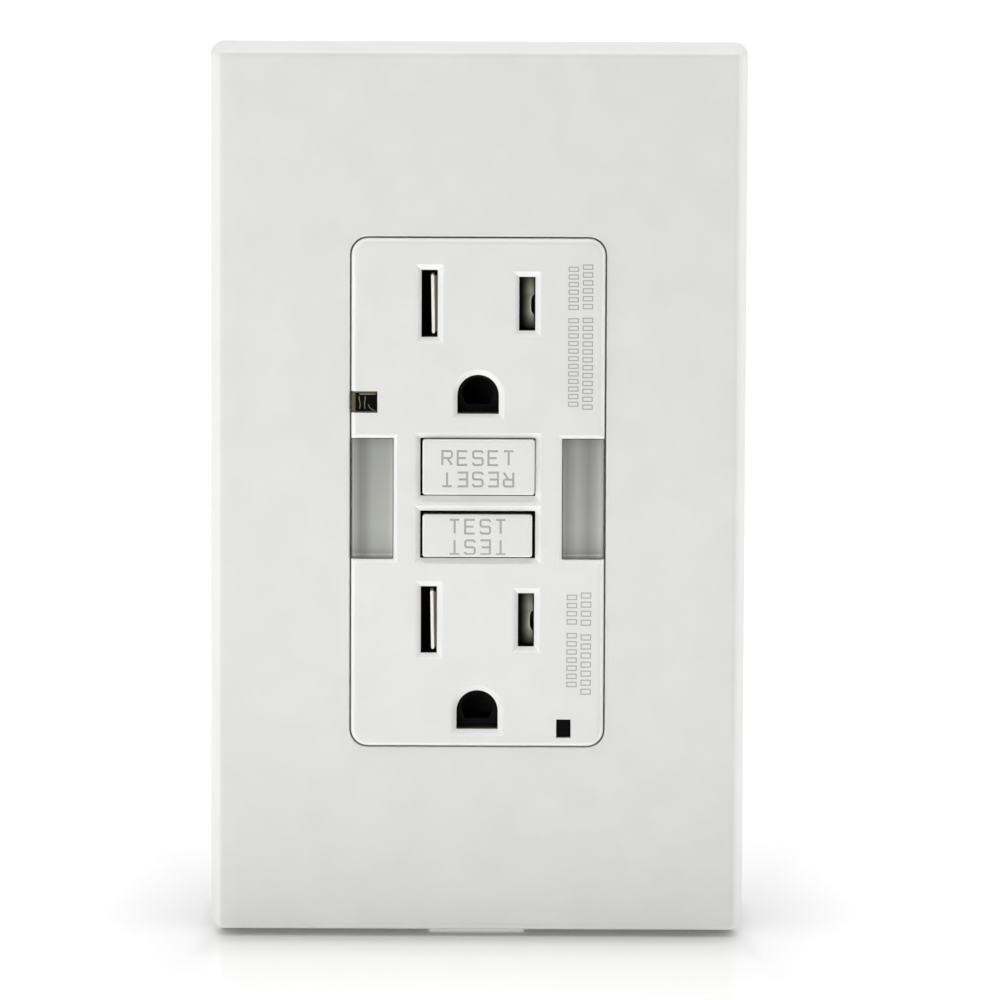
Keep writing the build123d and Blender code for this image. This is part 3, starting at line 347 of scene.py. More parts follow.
def frosted(name, node, tones):
    """Frosted light guide in its own grey-green, with painted bands of light and shade across its width,
    painted shade at the top, and a painted highlight line over a shaded foot.
    """
    material, shader, place = new_surface(name)
    low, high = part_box(node)
    across = span_of(material, axis_value(material, place, "X"), low[0], high[0])
    upward = span_of(material, axis_value(material, place, "Z"), low[2], high[2])
    shading_bands = tone_curve(material, across, tones, (1.0, 1.02, 0.94))
    # painted light and shade up the lens: a shaded foot, a painted highlight line just above it, and
    # painted shade at the top
    rows = (
        (0.0, 0.38), (0.018, 0.55), (0.028, 1.0), (0.042, 0.66), (0.1, 0.9), (0.25, 1.06), (0.6, 0.97),
        (0.92, 0.84), (1.0, 0.66),
    )
    ends = tone_curve(material, upward, rows, (1.0, 1.0, 1.0))
    link(material, multiply(material, shading_bands, ends), shader.inputs["Base Color"])
    ripple = noise(material, place, 0.8 * MM, 4.0)
    link(material, between(material, ripple, 0.32, 0.46), shader.inputs["Roughness"])
    bump(material, shader, ripple, 0.004 * MM)
    return material


def painted_clip_sheet(name, x, z, half):
    """Contact sheet with a painted highlight along its crest and painted shade towards its ends."""
    material, shader, place = new_surface(name)
    across = span_of(material, axis_value(material, place, "X"), x - SLOT_HALF_WIDTH, x + SLOT_HALF_WIDTH)
    # painted light across the sheet: dark at its left, brightest along its crest
    crest = ((0.0, 0.01), (0.2, 0.02), (0.42, 0.22), (0.68, 0.62), (0.85, 0.5), (0.97, 0.12))
    shading_bands = tone_curve(material, across, crest, (1.0, 1.0, 0.82))
    upward = span_of(material, axis_value(material, place, "Z"), z - half, z + half)
    shade = ((0.0, 0.04), (0.12, 0.3), (0.35, 0.95), (0.75, 0.9), (0.97, 0.35))
    ends = tone_curve(material, upward, shade, (1.0, 1.0, 1.0))
    link(material, multiply(material, shading_bands, ends), shader.inputs["Base Color"])
    fine = noise(material, place, 0.2 * MM, 3.0)
    link(material, between(material, fine, 0.4, 0.6), shader.inputs["Roughness"])
    bump(material, shader, fine, 0.006 * MM)
    return material


CAP_WHITE = (0.835, 0.835, 0.82)
LETTER_SHADE_GREY = (0.49, 0.49, 0.465)
LETTER_DEPTH = 0.15 * MM
LETTER_MARGINS = (0.5 * MM, 0.35 * MM)


def engraved(name, node):
    """Cap plastic with painted shade: the floors of the engraved letters in grey."""
    material, shader, place = new_surface(name)
    low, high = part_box(node)
    depth = axis_value(material, place, "Y")
    floor = calculate(material, "COMPARE", depth, low[1] + LETTER_DEPTH, 0.02 * MM)
    half_width = (high[0] - low[0]) / 2 - LETTER_MARGINS[0]
    inside = calculate(material, "COMPARE", axis_value(material, place, "X"), 0.0, half_width)
    half_height = (high[2] - low[2]) / 2 - LETTER_MARGINS[1]
    middle = (low[2] + high[2]) / 2
    level = calculate(material, "COMPARE", axis_value(material, place, "Z"), middle, half_height)
    mask = calculate(material, "MULTIPLY", calculate(material, "MULTIPLY", floor, inside), level)
    # the letter floors get painted shade
    tone = ramp(material, mask, CAP_WHITE, LETTER_SHADE_GREY, 0.0, 1.0)
    mottle = tone_curve(material, noise(material, place, 6 * MM), ((0.3, 0.97), (0.7, 1.0)), (1, 1, 1))
    # bevels and fillets get a painted highlight
    tone = multiply(material, tone, painted_edge_highlight(material, 1.1))
    link(material, multiply(material, tone, mottle), shader.inputs["Base Color"])
    fine = noise(material, place, 0.25 * MM, 4.0)
    link(material, between(material, fine, 0.32, 0.44), shader.inputs["Roughness"])
    bump(material, shader, fine, 0.004 * MM)
    return material


def add_painted_glow(material, colour, strength):
    """A faint painted glow, standing in for light that the narrow slot would keep out."""
    shader = material.node_tree.nodes["Principled BSDF"]
    shader.inputs["Emission Color"].default_value = (*colour, 1)
    shader.inputs["Emission Strength"].default_value = strength


# Places across each lens, from its left edge to its right, and the painted brightness there: bands of light
# and shade
LEFT_BANDS = ((0.0, 0.41), (0.06, 0.35), (0.2, 0.23), (0.32, 0.25), (0.5, 0.38), (0.88, 0.42), (1.0, 0.52))
RIGHT_BANDS = ((0.0, 0.29), (0.1, 0.24), (0.36, 0.38), (0.63, 0.27), (0.8, 0.36), (0.93, 0.5), (1.0, 0.46))
CLIP_HALF = 3.4 * MM

# The clip's edge glows faintly: a painted highlight.
add_painted_glow(MATERIALS["clip_edge_highlight"], (1.0, 0.97, 0.9), 0.12)
MATERIALS["lens_left"] = frosted("frosted_left", "guide_light_lens_left", LEFT_BANDS)
MATERIALS["lens_right"] = frosted("frosted_right", "guide_light_lens_right", RIGHT_BANDS)
MATERIALS["reset_cap"] = engraved("reset_cap", "reset_button")
MATERIALS["test_cap"] = engraved("test_cap", "test_button")
for place, z in enumerate(BLADE_SLOTS):
    MATERIALS[f"clip_{place}"] = painted_clip_sheet(f"painted_clip_sheet_{place}", BLADE_X, z, CLIP_HALF)

LOOKS = {
    "plate": ["wall_plate"],
    "face": ["front_cover"],
    "reset_cap": ["reset_button"],
    "test_cap": ["test_button"],
    "under": ["sub_plate"],
    "inner": ["middle_frame"],
    "nylon": ["contact_carriage", "transformer_bobbin", "solenoid_bobbin"],
    "housing": ["rear_housing"],
    "fibre": ["screw_retainers"],
    "steel": [
        "mounting_strap", "mounting_screws", "housing_screws", "ground_rivets", "reset_pin", "plunger",
        "latch_slide", "solenoid_frame",
    ],
    "spring": ["reset_spring", "carriage_spring", "plunger_spring"],
    "white_paint": ["sub_plate_screws"],
    "nickel": ["terminal_screws_silver", "clamp_plates_silver"],
    "bronze": ["load_bus_hot", "load_bus_neutral", "ground_contact_upper", "ground_contact_lower"],
    "brass": [
        "line_terminal_hot", "line_terminal_neutral",
        "terminal_screws_brass", "clamp_plates_brass", "contact_arm_hot",
        "contact_arm_neutral", "test_contact_arm", "arm_posts",
    ],
    "silver": ["fixed_contacts", "moving_contact_hot", "moving_contact_neutral"],
    "green_paint": ["ground_screw"],
    "enamel": ["solenoid_coil", "line_conductors"],
    "core": ["sense_core", "neutral_core"],
    "board": ["circuit_board"],
    "disc": ["surge_disc"],
    "capacitor": ["film_capacitor"],
    "chip": ["controller_chip", "switching_thyristor", "resistors"],
    "lamp": ["guide_leds", "status_led", "photocell"],
    "smoke": ["photocell_window"],
    "pipe": ["status_light_pipe"],
    "lens_left": ["guide_light_lens_left"],
    "lens_right": ["guide_light_lens_right"],
}


def paint(piece, look):
    """Gives a piece one of the materials all over."""
    if not piece.material_slots:
        piece.data.materials.append(MATERIALS[look])
    for slot in piece.material_slots:
        slot.material = MATERIALS[look]


for look, names in LOOKS.items():
    for name in names:
        paint(NODES[name], look)


# ------------------------------------------------------------------------------- mesh building

def new_piece(name, shape, look, body=ROOT, smooth=False):
    """Turns a filled bmesh, in the frame's own coordinates, into a piece that rides on a body."""
    bmesh.ops.recalc_face_normals(shape, faces=shape.faces)
    for face in shape.faces:
        face.smooth = smooth
    mesh = bpy.data.meshes.new(name)
    shape.to_mesh(mesh)
    shape.free()
    mesh.materials.append(MATERIALS[look])
    piece = bpy.data.objects.new(name, mesh)
    bpy.context.collection.objects.link(piece)
    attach(piece, body)
    return piece


def add_block(shape, x, y, z):
    """A box between two limits along each axis."""
    middle = [(low + high) / 2 for low, high in (x, y, z)]
    sizes = [abs(high - low) for low, high in (x, y, z)]
    place = Matrix.Translation(middle) @ Matrix.Diagonal((*sizes, 1))
    bmesh.ops.create_cube(shape, size=1, matrix=place)


def add_rings(shape, rings, closed=False):
    """A closed skin through rings of points, capped at both ends or joined into a loop."""
    rows = [[shape.verts.new(point) for point in ring] for ring in rings]
    sides = len(rows[0])
    pairs = list(zip(rows, rows[1:]))
    if closed:
        pairs.append((rows[-1], rows[0]))
    for row, after in pairs:
        for k in range(sides):
            m = (k + 1) % sides
            shape.faces.new((row[k], row[m], after[m], after[k]))
    if not closed:
        shape.faces.new(rows[0])
        shape.faces.new(list(reversed(rows[-1])))


def add_tube(shape, path, radius, sides=10, closed=False):
    """A round wire along a path of points."""
    rings = []
    side = None
    count = len(path)
    for k, point in enumerate(path):
        ahead = path[(k + 1) % count] if closed else path[min(k + 1, count - 1)]
        behind = path[k - 1] if closed else path[max(k - 1, 0)]
        along = (ahead - behind).normalized()
        side = along.orthogonal() if side is None else side - side.dot(along) * along
        side.normalize()
        up = along.cross(side)
        turns = [2 * math.pi * n / sides for n in range(sides)]
        rings.append([point + radius * (math.cos(t) * side + math.sin(t) * up) for t in turns])
    add_rings(shape, rings, closed)


def turned(axis, centre, angle, radius, along):
    """A point at a polar place round a line along X, Y or Z, at a position on that line."""
    first, second = [k for k in range(3) if k != axis]
    point = Vector(centre)
    point[axis] = along
    point[first] += radius * math.cos(angle)
    point[second] += radius * math.sin(angle)
    return point


# A thread's depth as a share of its pitch, and its tip's radius as a share of the shank's
THREAD_DEPTH = 0.3
THREAD_POINT = 0.62


def add_thread(shape, axis, centre, start, end, radius, pitch):
    """A threaded shank along an axis, tapered to a blunt point over its last turn and a half."""
    depth = THREAD_DEPTH * pitch
    sides = 20
    steps = 4
    span = end - start
    rows = max(2, int(abs(span) / pitch * steps))
    rings = []
    for row in range(rows + 1):
        share = row / rows
        taper = min(1.0, (1 - share) * abs(span) / (1.5 * pitch))
        ring = []
        for k in range(sides):
            phase = (row / steps + k / sides) % 1
            crest = 1 - abs(2 * phase - 1)
            reach = (radius - depth * (1 - crest)) * (THREAD_POINT + (1 - THREAD_POINT) * taper)
            ring.append(turned(axis, centre, 2 * math.pi * k / sides, reach, start + share * span))
        rings.append(ring)
    add_rings(shape, rings)


def solids_of(node):
    """The separate solids of a CAD node, each as its lowest and highest corners."""
    shape = bmesh.new()
    shape.from_mesh(NODES[node].data)
    bmesh.ops.remove_doubles(shape, verts=shape.verts, dist=1e-7)
    left = set(shape.verts)
    found = []
    while left:
        start = min(left, key=lambda vertex: vertex.index)
        group = {start}
        waiting = [start]
        while waiting:
            vertex = waiting.pop()
            for edge in vertex.link_edges:
                other = edge.other_vert(vertex)
                if other not in group:
                    group.add(other)
                    waiting.append(other)
        left -= group
        low = Vector([min(v.co[k] for v in group) for k in range(3)])
        high = Vector([max(v.co[k] for v in group) for k in range(3)])
        found.append((low, high))
    shape.free()
    return sorted(found, key=lambda box: (round(box[0].x, 5), round(box[0].z, 5)))


def thread_screws(node, axis, seat, outward, radius, pitch, look):
    """Stands for a CAD node of plain screws: the same heads, on threaded shanks.

    seat is where the thread starts along the axis, and outward is +1 where the shank runs to
    higher values along it.
    """
    boxes = solids_of(node)
    shape = bmesh.new()
    shape.from_mesh(NODES[node].data)
    bmesh.ops.remove_doubles(shape, verts=shape.verts, dist=1e-7)
    normal = Vector((0, 0, 0))
    normal[axis] = outward
    cut = Vector((0, 0, 0))
    cut[axis] = seat
    geometry = shape.verts[:] + shape.edges[:] + shape.faces[:]
    bmesh.ops.bisect_plane(shape, geom=geometry, plane_co=cut, plane_no=normal, clear_outer=True)
    open_edges = [edge for edge in shape.edges if edge.is_boundary]
    bmesh.ops.holes_fill(shape, edges=open_edges, sides=0)
    for low, high in boxes:
        end = high[axis] if outward > 0 else low[axis]
        add_thread(shape, axis, (low + high) / 2, seat, end, radius, pitch)
    piece = new_piece(f"{node}_threaded", shape, look)
    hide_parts(node)


def coil_path(axis, centre, low, high, radius, turns, end_pitch):
    """Points along a compression spring's wire, with a closed turn at each end."""
    steps = 20
    middle_pitch = (high - low - 2 * end_pitch) / (turns - 2)
    path = []
    for step in range(int(turns * steps) + 1):
        turn = step / steps
        climb = end_pitch * min(turn, 1)
        climb += middle_pitch * max(0, min(turn, turns - 1) - 1)
        climb += end_pitch * max(0, turn - (turns - 1))
        path.append(turned(axis, centre, 2 * math.pi * turn, radius, low + climb))
    return path


def wind_spring(node, axis, wire, turns, body, anchor_at_high):
    """Stands for a plain CAD spring tube: round wire, with a closed turn at each end."""
    low, high = (Vector(corner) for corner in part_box(node))
    centre = (low + high) / 2
    across = [k for k in range(3) if k != axis][0]
    radius = (high[across] - low[across]) / 2 - wire
    path = coil_path(axis, centre, low[axis] + wire, high[axis] - wire, radius, turns, 2.1 * wire)
    shape = bmesh.new()
    add_tube(shape, path, wire)
    piece = new_piece(f"{node}_wire", shape, "spring", body, smooth=True)
    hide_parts(node)
    anchor = list(centre)
    anchor[axis] = high[axis] if anchor_at_high else low[axis]
    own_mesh(piece)


# ------------------------------------------------------------------------------------ fasteners

COARSE_PITCH = 0.794 * MM
FINE_PITCH = 0.6 * MM
MOUNTING_RADIUS = 1.75 * MM
PLATE_SCREW_RADIUS = 1.4 * MM
PLATE_SCREW_HEAD = 1.6 * MM
GROUND_SCREW_RADIUS = 1.9 * MM
GROUND_SCREW_HEAD = 2.0 * MM
TERMINAL_RADIUS = 2.0 * MM
TERMINAL_HEAD = 1.8 * MM


def detail_fasteners():
    """Threads on the screws that show below their heads."""
    strap_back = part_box("screw_retainers")[1][1]
    thread_screws("mounting_screws", 1, strap_back, 1, MOUNTING_RADIUS, COARSE_PITCH, "steel")
    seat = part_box("sub_plate_screws")[0][1] + PLATE_SCREW_HEAD
    thread_screws("sub_plate_screws", 1, seat, 1, PLATE_SCREW_RADIUS, FINE_PITCH, "white_paint")
    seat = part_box("ground_screw")[0][0] + GROUND_SCREW_HEAD
    thread_screws("ground_screw", 0, seat, 1, GROUND_SCREW_RADIUS, COARSE_PITCH, "green_paint")
    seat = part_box("terminal_screws_brass")[1][0] - TERMINAL_HEAD
    thread_screws("terminal_screws_brass", 0, seat, -1, TERMINAL_RADIUS, COARSE_PITCH, "brass")
    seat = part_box("terminal_screws_silver")[0][0] + TERMINAL_HEAD
    thread_screws("terminal_screws_silver", 0, seat, 1, TERMINAL_RADIUS, COARSE_PITCH, "nickel")


# Each spring's axis, wire radius, turns, body, joint, and whether its high end stays put
SPRINGS = (
    ("reset_spring", 1, 0.36 * MM, 8, ROOT, "reset_press", True),
    ("carriage_spring", 1, 0.24 * MM, 3.6, ROOT, "carriage_lift", False),
    ("plunger_spring", 2, 0.2 * MM, 3.3, ROOT, "plunger_stroke", False),
)


def detail_springs():
    """Winds round wire in place of each plain CAD spring tube, over the tube's whole length."""
    for node, axis, wire, turns, body, joint, at_high in SPRINGS:
        wind_spring(node, axis, wire, turns, body, at_high)


COIL_WIRE = 0.32 * MM
COIL_RIB = 0.12 * MM
COIL_HOLE = 2.05 * MM
CORE_WIRE = 0.2 * MM
CORE_HOLE = 4.75 * MM
CORE_TURNS = 40


def wind_coil():
    """Solenoid winding: a sleeve whose outside is ribbed by its top layer of wire."""
    low, high = (Vector(corner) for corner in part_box("solenoid_coil"))
    centre = (low + high) / 2
    radius = (high.x - low.x) / 2
    turns = int((high.z - low.z) / COIL_WIRE)
    steps = 6
    sides = 36
    profile = [(COIL_HOLE, low.z)]
    for step in range(turns * steps + 1):
        share = step / (turns * steps)
        rib = COIL_RIB * (1 - abs(math.sin(math.pi * step / steps)))
        profile.append((radius - rib, low.z + share * (high.z - low.z)))
    profile.append((COIL_HOLE, high.z))
    shape = bmesh.new()
    rings = []
    for reach, height in profile:
        angles = [2 * math.pi * k / sides for k in range(sides)]
        rings.append([turned(2, centre, angle, reach, height) for angle in angles])
    add_rings(shape, rings, closed=True)
    piece = new_piece("solenoid_winding", shape, "enamel", smooth=True)
    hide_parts("solenoid_coil")


def wind_core(node):
    """Toroid winding: a ring of wire loops laid close over a core."""
    low, high = (Vector(corner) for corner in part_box(node))
    centre = (low + high) / 2
    outer = (high.x - low.x) / 2
    middle = (outer + CORE_HOLE) / 2
    half_radial = (outer - CORE_HOLE) / 2
    half_depth = (high.y - low.y) / 2
    steps = 12
    path = []
    for step in range(CORE_TURNS * steps):
        around = 2 * math.pi * step / (CORE_TURNS * steps)
        loop = 2 * math.pi * step / steps
        square = max(abs(math.cos(loop)), abs(math.sin(loop)))
        radial = (half_radial - CORE_WIRE) * math.cos(loop) / square
        depth = (half_depth - CORE_WIRE) * math.sin(loop) / square
        path.append(turned(1, centre, around, middle + radial, centre.y + depth))
    shape = bmesh.new()
    add_tube(shape, path, CORE_WIRE, sides=6, closed=True)
    core = []
    sides = 48
    for k in range(sides):
        around = 2 * math.pi * k / sides
        ring = []
        for a, b in ((-1, -1), (1, -1), (1, 1), (-1, 1)):
            reach = middle + a * (half_radial - 2 * CORE_WIRE)
            ring.append(turned(1, centre, around, reach, centre.y + b * (half_depth - 2 * CORE_WIRE)))
        core.append(ring)
    add_rings(shape, core, closed=True)
    piece = new_piece(f"{node}_winding", shape, "enamel", smooth=True)
    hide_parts(node)


# ------------------------------------------------------------------------- slots and face details

# The dark sleeves and throats are painted shade, put where the openings show only shade.
SHADE_SLEEVE_WALL = 0.05 * MM
SHADE_SLEEVE_DEPTH = (FACE_FRONT + BEVEL + 0.05 * MM, FACE_FRONT + 3.6 * MM)


def rectangle_ring(x, z, half_width, half_height, y):
    corners = ((-1, -1), (1, -1), (1, 1), (-1, 1))
    return [Vector((x + a * half_width, y, z + b * half_height)) for a, b in corners]


def add_sleeve(shape, outline):
    """A thin sleeve: outline(inset, y) gives a ring of points, and the wall lies inside it."""
    front, back = SHADE_SLEEVE_DEPTH
    outer = [outline(0, front), outline(0, back)]
    inner = [outline(SHADE_SLEEVE_WALL, back), outline(SHADE_SLEEVE_WALL, front)]
    add_rings(shape, outer + inner, closed=True)


def shade_slots():
    """Painted shade: dark sleeves behind the face, which the blade slots look into."""
    for place, z in enumerate(BLADE_SLOTS):
        for name, side in SLOT_SIDES.items():
            half = SLOT_LENGTHS[name] / 2

            def outline(inset, y, x=side * BLADE_X, z=z, half=half):
                return rectangle_ring(x, z, SLOT_HALF_WIDTH - inset, half - inset, y)

            shape = bmesh.new()
            add_sleeve(shape, outline)
            new_piece(f"slot_shade_sleeve_{name}_{place}", shape, "dark")


# The middle height and half the height of the reset and test buttons' wells
WELLS = ((3.4 * MM, 3.775 * MM), (-5.45 * MM, 3.1 * MM))
WELL_HALF_WIDTH = 7.5 * MM


def shade_wells():
    """Painted shade: dark sleeves round the two buttons."""
    for place, (z, half) in enumerate(WELLS):

        def outline(inset, y, z=z, half=half):
            return rectangle_ring(0, z, WELL_HALF_WIDTH - inset, half - inset, y)

        shape = bmesh.new()
        add_sleeve(shape, outline)
        new_piece(f"well_shade_sleeve_{place}", shape, "dark")


GROUND_RADIUS = 2.7 * MM
GROUND_FLAT = 2.4 * MM
LIP_HEIGHT = 0.04 * MM
THROAT_RADIUS = 2.1 * MM
THROAT_WALL = 0.1 * MM


def ground_ring(z, inset, y):
    """Outline of a ground hole: a half circle on top, straight sides and a flat bottom."""
    reach = GROUND_RADIUS - inset
    arc = [math.pi * k / 24 for k in range(25)]
    points = [Vector((reach * math.cos(t), y, z + reach * math.sin(t))) for t in arc]
    bottom = z - GROUND_FLAT + inset
    return points + [Vector((-reach, y, bottom)), Vector((reach, y, bottom))]


def throat_rings(z):
    """A thin plate across a dark sleeve's back, with the ground hole's outline and a round opening."""
    back = SHADE_SLEEVE_DEPTH[1]
    outer = ground_ring(z, SHADE_SLEEVE_WALL, back)
    middle = Vector((0, back, z))
    inner = [middle + THROAT_RADIUS * (point - middle).normalized() for point in outer]
    shift = Vector((0, THROAT_WALL, 0))
    return [outer, [point + shift for point in outer], [point + shift for point in inner], inner]


def shade_ground_holes():
    """In each ground hole a dark sleeve and a dark round throat as painted shade, and a brown lip along its
    bottom.
    """
    for place, z in enumerate(GROUND_HOLES):

        def outline(inset, y, z=z):
            return ground_ring(z, inset, y)

        shape = bmesh.new()
        add_sleeve(shape, outline)
        new_piece(f"ground_shade_sleeve_{place}", shape, "dark")
        lip = bmesh.new()
        bottom = z - GROUND_FLAT + SHADE_SLEEVE_WALL
        half = GROUND_RADIUS - SHADE_SLEEVE_WALL
        add_block(lip, (-half, half), SHADE_SLEEVE_DEPTH, (bottom, bottom + LIP_HEIGHT))
        new_piece(f"ground_lip_{place}", lip, "tarnish")
        throat = bmesh.new()
        add_rings(throat, throat_rings(z), closed=True)
        new_piece(f"ground_shade_throat_{place}", throat, "dark")


LEAF_FRONT = FACE_FRONT + 1.2 * MM
LEAF_BACK = FACE_FRONT + 4.0 * MM
LEAF_SHIFT = 0.38 * MM
LEAF_HALF_WIDTH = 0.21 * MM
LEAF_DOWN = 3.95 * MM
LEAF_UP = 3.75 * MM
LEAF_LEAN = 0.14 * MM
LEAF_EDGE = 0.05 * MM
LEAF_EASE = 0.06 * MM


def leaning_ring(x, low_z, high_z, half_width, y):
    """An upright strip with round ends, its lower end leaning to the right."""
    points = []
    for end, start_angle in ((high_z - half_width, 0), (low_z + half_width, math.pi)):
        for step in range(9):
            angle = start_angle + math.pi * step / 8
            height = end + half_width * math.sin(angle)
            share = (high_z - height) / (high_z - low_z)
            points.append(Vector((x + half_width * math.cos(angle) + LEAF_LEAN * share, y, height)))
    return points


def add_edge_leaf(shape, x, z):
    """Clip leaf seen on edge: a narrow leaning strip with round ends and an eased front."""
    low = z - LEAF_DOWN
    high = z + LEAF_UP
    rings = []
    for y, inset in ((LEAF_FRONT, LEAF_EDGE), (LEAF_FRONT + LEAF_EASE, 0), (LEAF_BACK, 0)):
        ring = leaning_ring(x, low + inset, high - inset, LEAF_HALF_WIDTH - inset, y)
        rings.append(ring)
    add_rings(shape, rings)


SHEET_THICK = 0.25 * MM
SHEET_LEFT = SLOT_HALF_WIDTH - 0.08 * MM
SHEET_RIGHT = SLOT_HALF_WIDTH - 0.14 * MM
SHEET_Y = FACE_FRONT + 3.0 * MM
SHEET_BULGE = 1.7 * MM
NOTCH_HALF = 1.35 * MM
NOTCH_DEPTH = 0.42 * MM
NOTCH_DROP = 0.15 * MM


def add_curved_leaf(shape, x, z):
    """Clip leaf seen from the side: a sheet that bulges towards the room, with a round notch."""
    rows = 28
    columns = 10
    left = x - SHEET_LEFT
    front, back = [], []
    for row in range(rows + 1):
        height = z + CLIP_HALF * (2 * row / rows - 1)
        off = (height - z + NOTCH_DROP) / NOTCH_HALF
        cut = NOTCH_DEPTH * (1 - off ** 4) if abs(off) < 1 else 0
        width = x + SHEET_RIGHT - cut - left
        crest = SHEET_BULGE * math.cos(0.5 * math.pi * (height - z) / (1.6 * CLIP_HALF))
        front_row, back_row = [], []
        for column in range(columns + 1):
            share = column / columns
            y = SHEET_Y - crest * share ** 1.3
            front_row.append(shape.verts.new((left + width * share, y, height)))
            back_row.append(shape.verts.new((left + width * share, y + SHEET_THICK, height)))
        front.append(front_row)
        back.append(back_row)
    for grid in (front, back):
        for row, above in zip(grid, grid[1:]):
            for k in range(columns):
                shape.faces.new((row[k], row[k + 1], above[k + 1], above[k]))
    rim = [(0, c) for c in range(columns + 1)]
    rim += [(r, columns) for r in range(1, rows + 1)]
    rim += [(rows, c) for c in range(columns - 1, -1, -1)]
    rim += [(r, 0) for r in range(rows - 1, 0, -1)]
    for (r, c), (m, n) in zip(rim, rim[1:] + rim[:1]):
        shape.faces.new((front[r][c], front[m][n], back[m][n], back[r][c]))


BACKING_X = (-BLADE_X + 0.64 * MM, -BLADE_X + 0.94 * MM)
BACKING_Y = (LEAF_FRONT + 0.1 * MM, LEAF_BACK - 0.1 * MM)
BACKING_DOWN = 3.7 * MM
BACKING_UP = 3.6 * MM


def fit_clip_leaves():
    """The bent ends of the contacts behind the slots, and a brown strip beside each narrow one."""
    for place, z in enumerate(BLADE_SLOTS):
        edge_leaf = bmesh.new()
        add_edge_leaf(edge_leaf, -BLADE_X + LEAF_SHIFT, z)
        new_piece(f"clip_edge_{place}", edge_leaf, "clip_edge_highlight")
        backing = bmesh.new()
        add_block(backing, BACKING_X, BACKING_Y, (z - BACKING_DOWN, z + BACKING_UP))
        new_piece(f"clip_backing_{place}", backing, "brown_edge")
        curved_leaf = bmesh.new()
        add_curved_leaf(curved_leaf, BLADE_X, z)
        new_piece(f"clip_curve_{place}", curved_leaf, f"clip_{place}", smooth=True)


WINDOW_WIRE = 0.055 * MM
WINDOW_RIM = 0.05 * MM


def furnish_photocell():
    """What shows through the dark window: a brown frame, and a ledge, two wires and a curved rim in
    pale grey as glints, a painted highlight.

    Places within the window are shares of its width and height.
    """
    low, high = (Vector(corner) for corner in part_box("photocell_window"))
    front = low.y
    depth = (front - 0.02 * MM, front + 0.08 * MM)
    middle = (depth[0] + depth[1]) / 2
    wide, tall = high.x - low.x, high.z - low.z
    post = low.x + 0.14 * wide
    frame_piece = bmesh.new()
    add_block(frame_piece, (low.x, post), depth, (low.z, high.z))
    add_block(frame_piece, (post, high.x), depth, (high.z - 0.05 * tall, high.z))
    add_block(frame_piece, (post, high.x), depth, (low.z, low.z + 0.04 * tall))
    new_piece("photocell_frame", frame_piece, "tarnish")
    glints = bmesh.new()
    ledge = (high.z - 0.14 * tall, high.z - 0.09 * tall)
    add_block(glints, (low.x + 0.3 * wide, high.x - 0.04 * wide), depth, ledge)
    for share, sway in ((0.31, 0.02), (0.52, -0.012)):
        path = []
        for step in range(13):
            rise = step / 12
            across = low.x + (share + sway * math.sin(math.pi * 1.6 * rise)) * wide
            path.append(Vector((across, middle, low.z + (0.16 + 0.62 * rise) * tall)))
        add_tube(glints, path, WINDOW_WIRE)
    path = []
    for step in range(11):
        angle = math.radians(185 + 75 * step / 10)
        across = low.x + (1.0 + 0.34 * math.cos(angle)) * wide
        path.append(Vector((across, middle, low.z + (0.42 + 0.36 * math.sin(angle)) * tall)))
    add_tube(glints, path, WINDOW_RIM)
    new_piece("photocell_glints", glints, "glint", smooth=True)


MARK_WIDTH = 1.35 * MM
MARK_FILL = 0.66
MARK_STROKE = 0.13 * MM
MARK_RISE = 0.03 * MM
MARK_GAP = 0.75 * MM
# Each column's place, top and pitch in millimetres, and the marks in its two groups
MARK_COLUMNS = (
    (14.23, 29.6, 1.03, (6, 12)),
    (12.38, 29.3, 0.99, (6, 12)),
    (14.18, -13.35, 1.19, (4, 7)),
    (12.33, -13.6, 1.07, (4, 7)),
)


def add_mark(shape, x, z, height):
    """One small open frame, raised a little from the face."""
    y = (FACE_FRONT - MARK_RISE, FACE_FRONT + MARK_RISE)
    wide, tall = MARK_WIDTH / 2, height / 2

    def outline(inset, depth):
        return rectangle_ring(x, z, wide - inset, tall - inset, depth)

    rings = [outline(0, y[0]), outline(0, y[1]), outline(MARK_STROKE, y[1]), outline(MARK_STROKE, y[0])]
    add_rings(shape, rings, closed=True)


def mark_columns():
    """Plain frames in rows, where the face has moulded wording."""
    for place, (x, top, pitch, groups) in enumerate(MARK_COLUMNS):
        shape = bmesh.new()
        z = top * MM
        for count in groups:
            for step in range(count):
                add_mark(shape, x * MM, z, MARK_FILL * pitch * MM)
                z -= pitch * MM
            z -= MARK_GAP
        new_piece(f"face_marks_{place}", shape, "mark")


detail_fasteners()
detail_springs()
wind_coil()
wind_core("sense_core")
wind_core("neutral_core")
shade_slots()
shade_wells()
shade_ground_holes()
fit_clip_leaves()
furnish_photocell()
mark_columns()


# --------------------------------------------------------------------------- stage and lighting

PLATE_LOW, PLATE_HIGH = (Vector(corner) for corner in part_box("wall_plate"))
FACE_LOW, FACE_HIGH = (Vector(corner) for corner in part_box("front_cover"))
FACE_CENTRE = Vector(((FACE_LOW.x + FACE_HIGH.x) / 2, FACE_LOW.y, (FACE_LOW.z + FACE_HIGH.z) / 2))

# The floor's own light, dimmed near the plate as a painted shadow: how far it grows, its levels at
# shares of that reach, and beside the plate the distance that it starts from and how fast that
# distance grows
GLOW_REACH = 0.4
GLOW_LEVELS = ((0.02, 0.045), (0.06, 0.17), (0.5, 0.395))
SIDE_GLOW_START = 0.012
SIDE_GLOW_RISE = 6.0


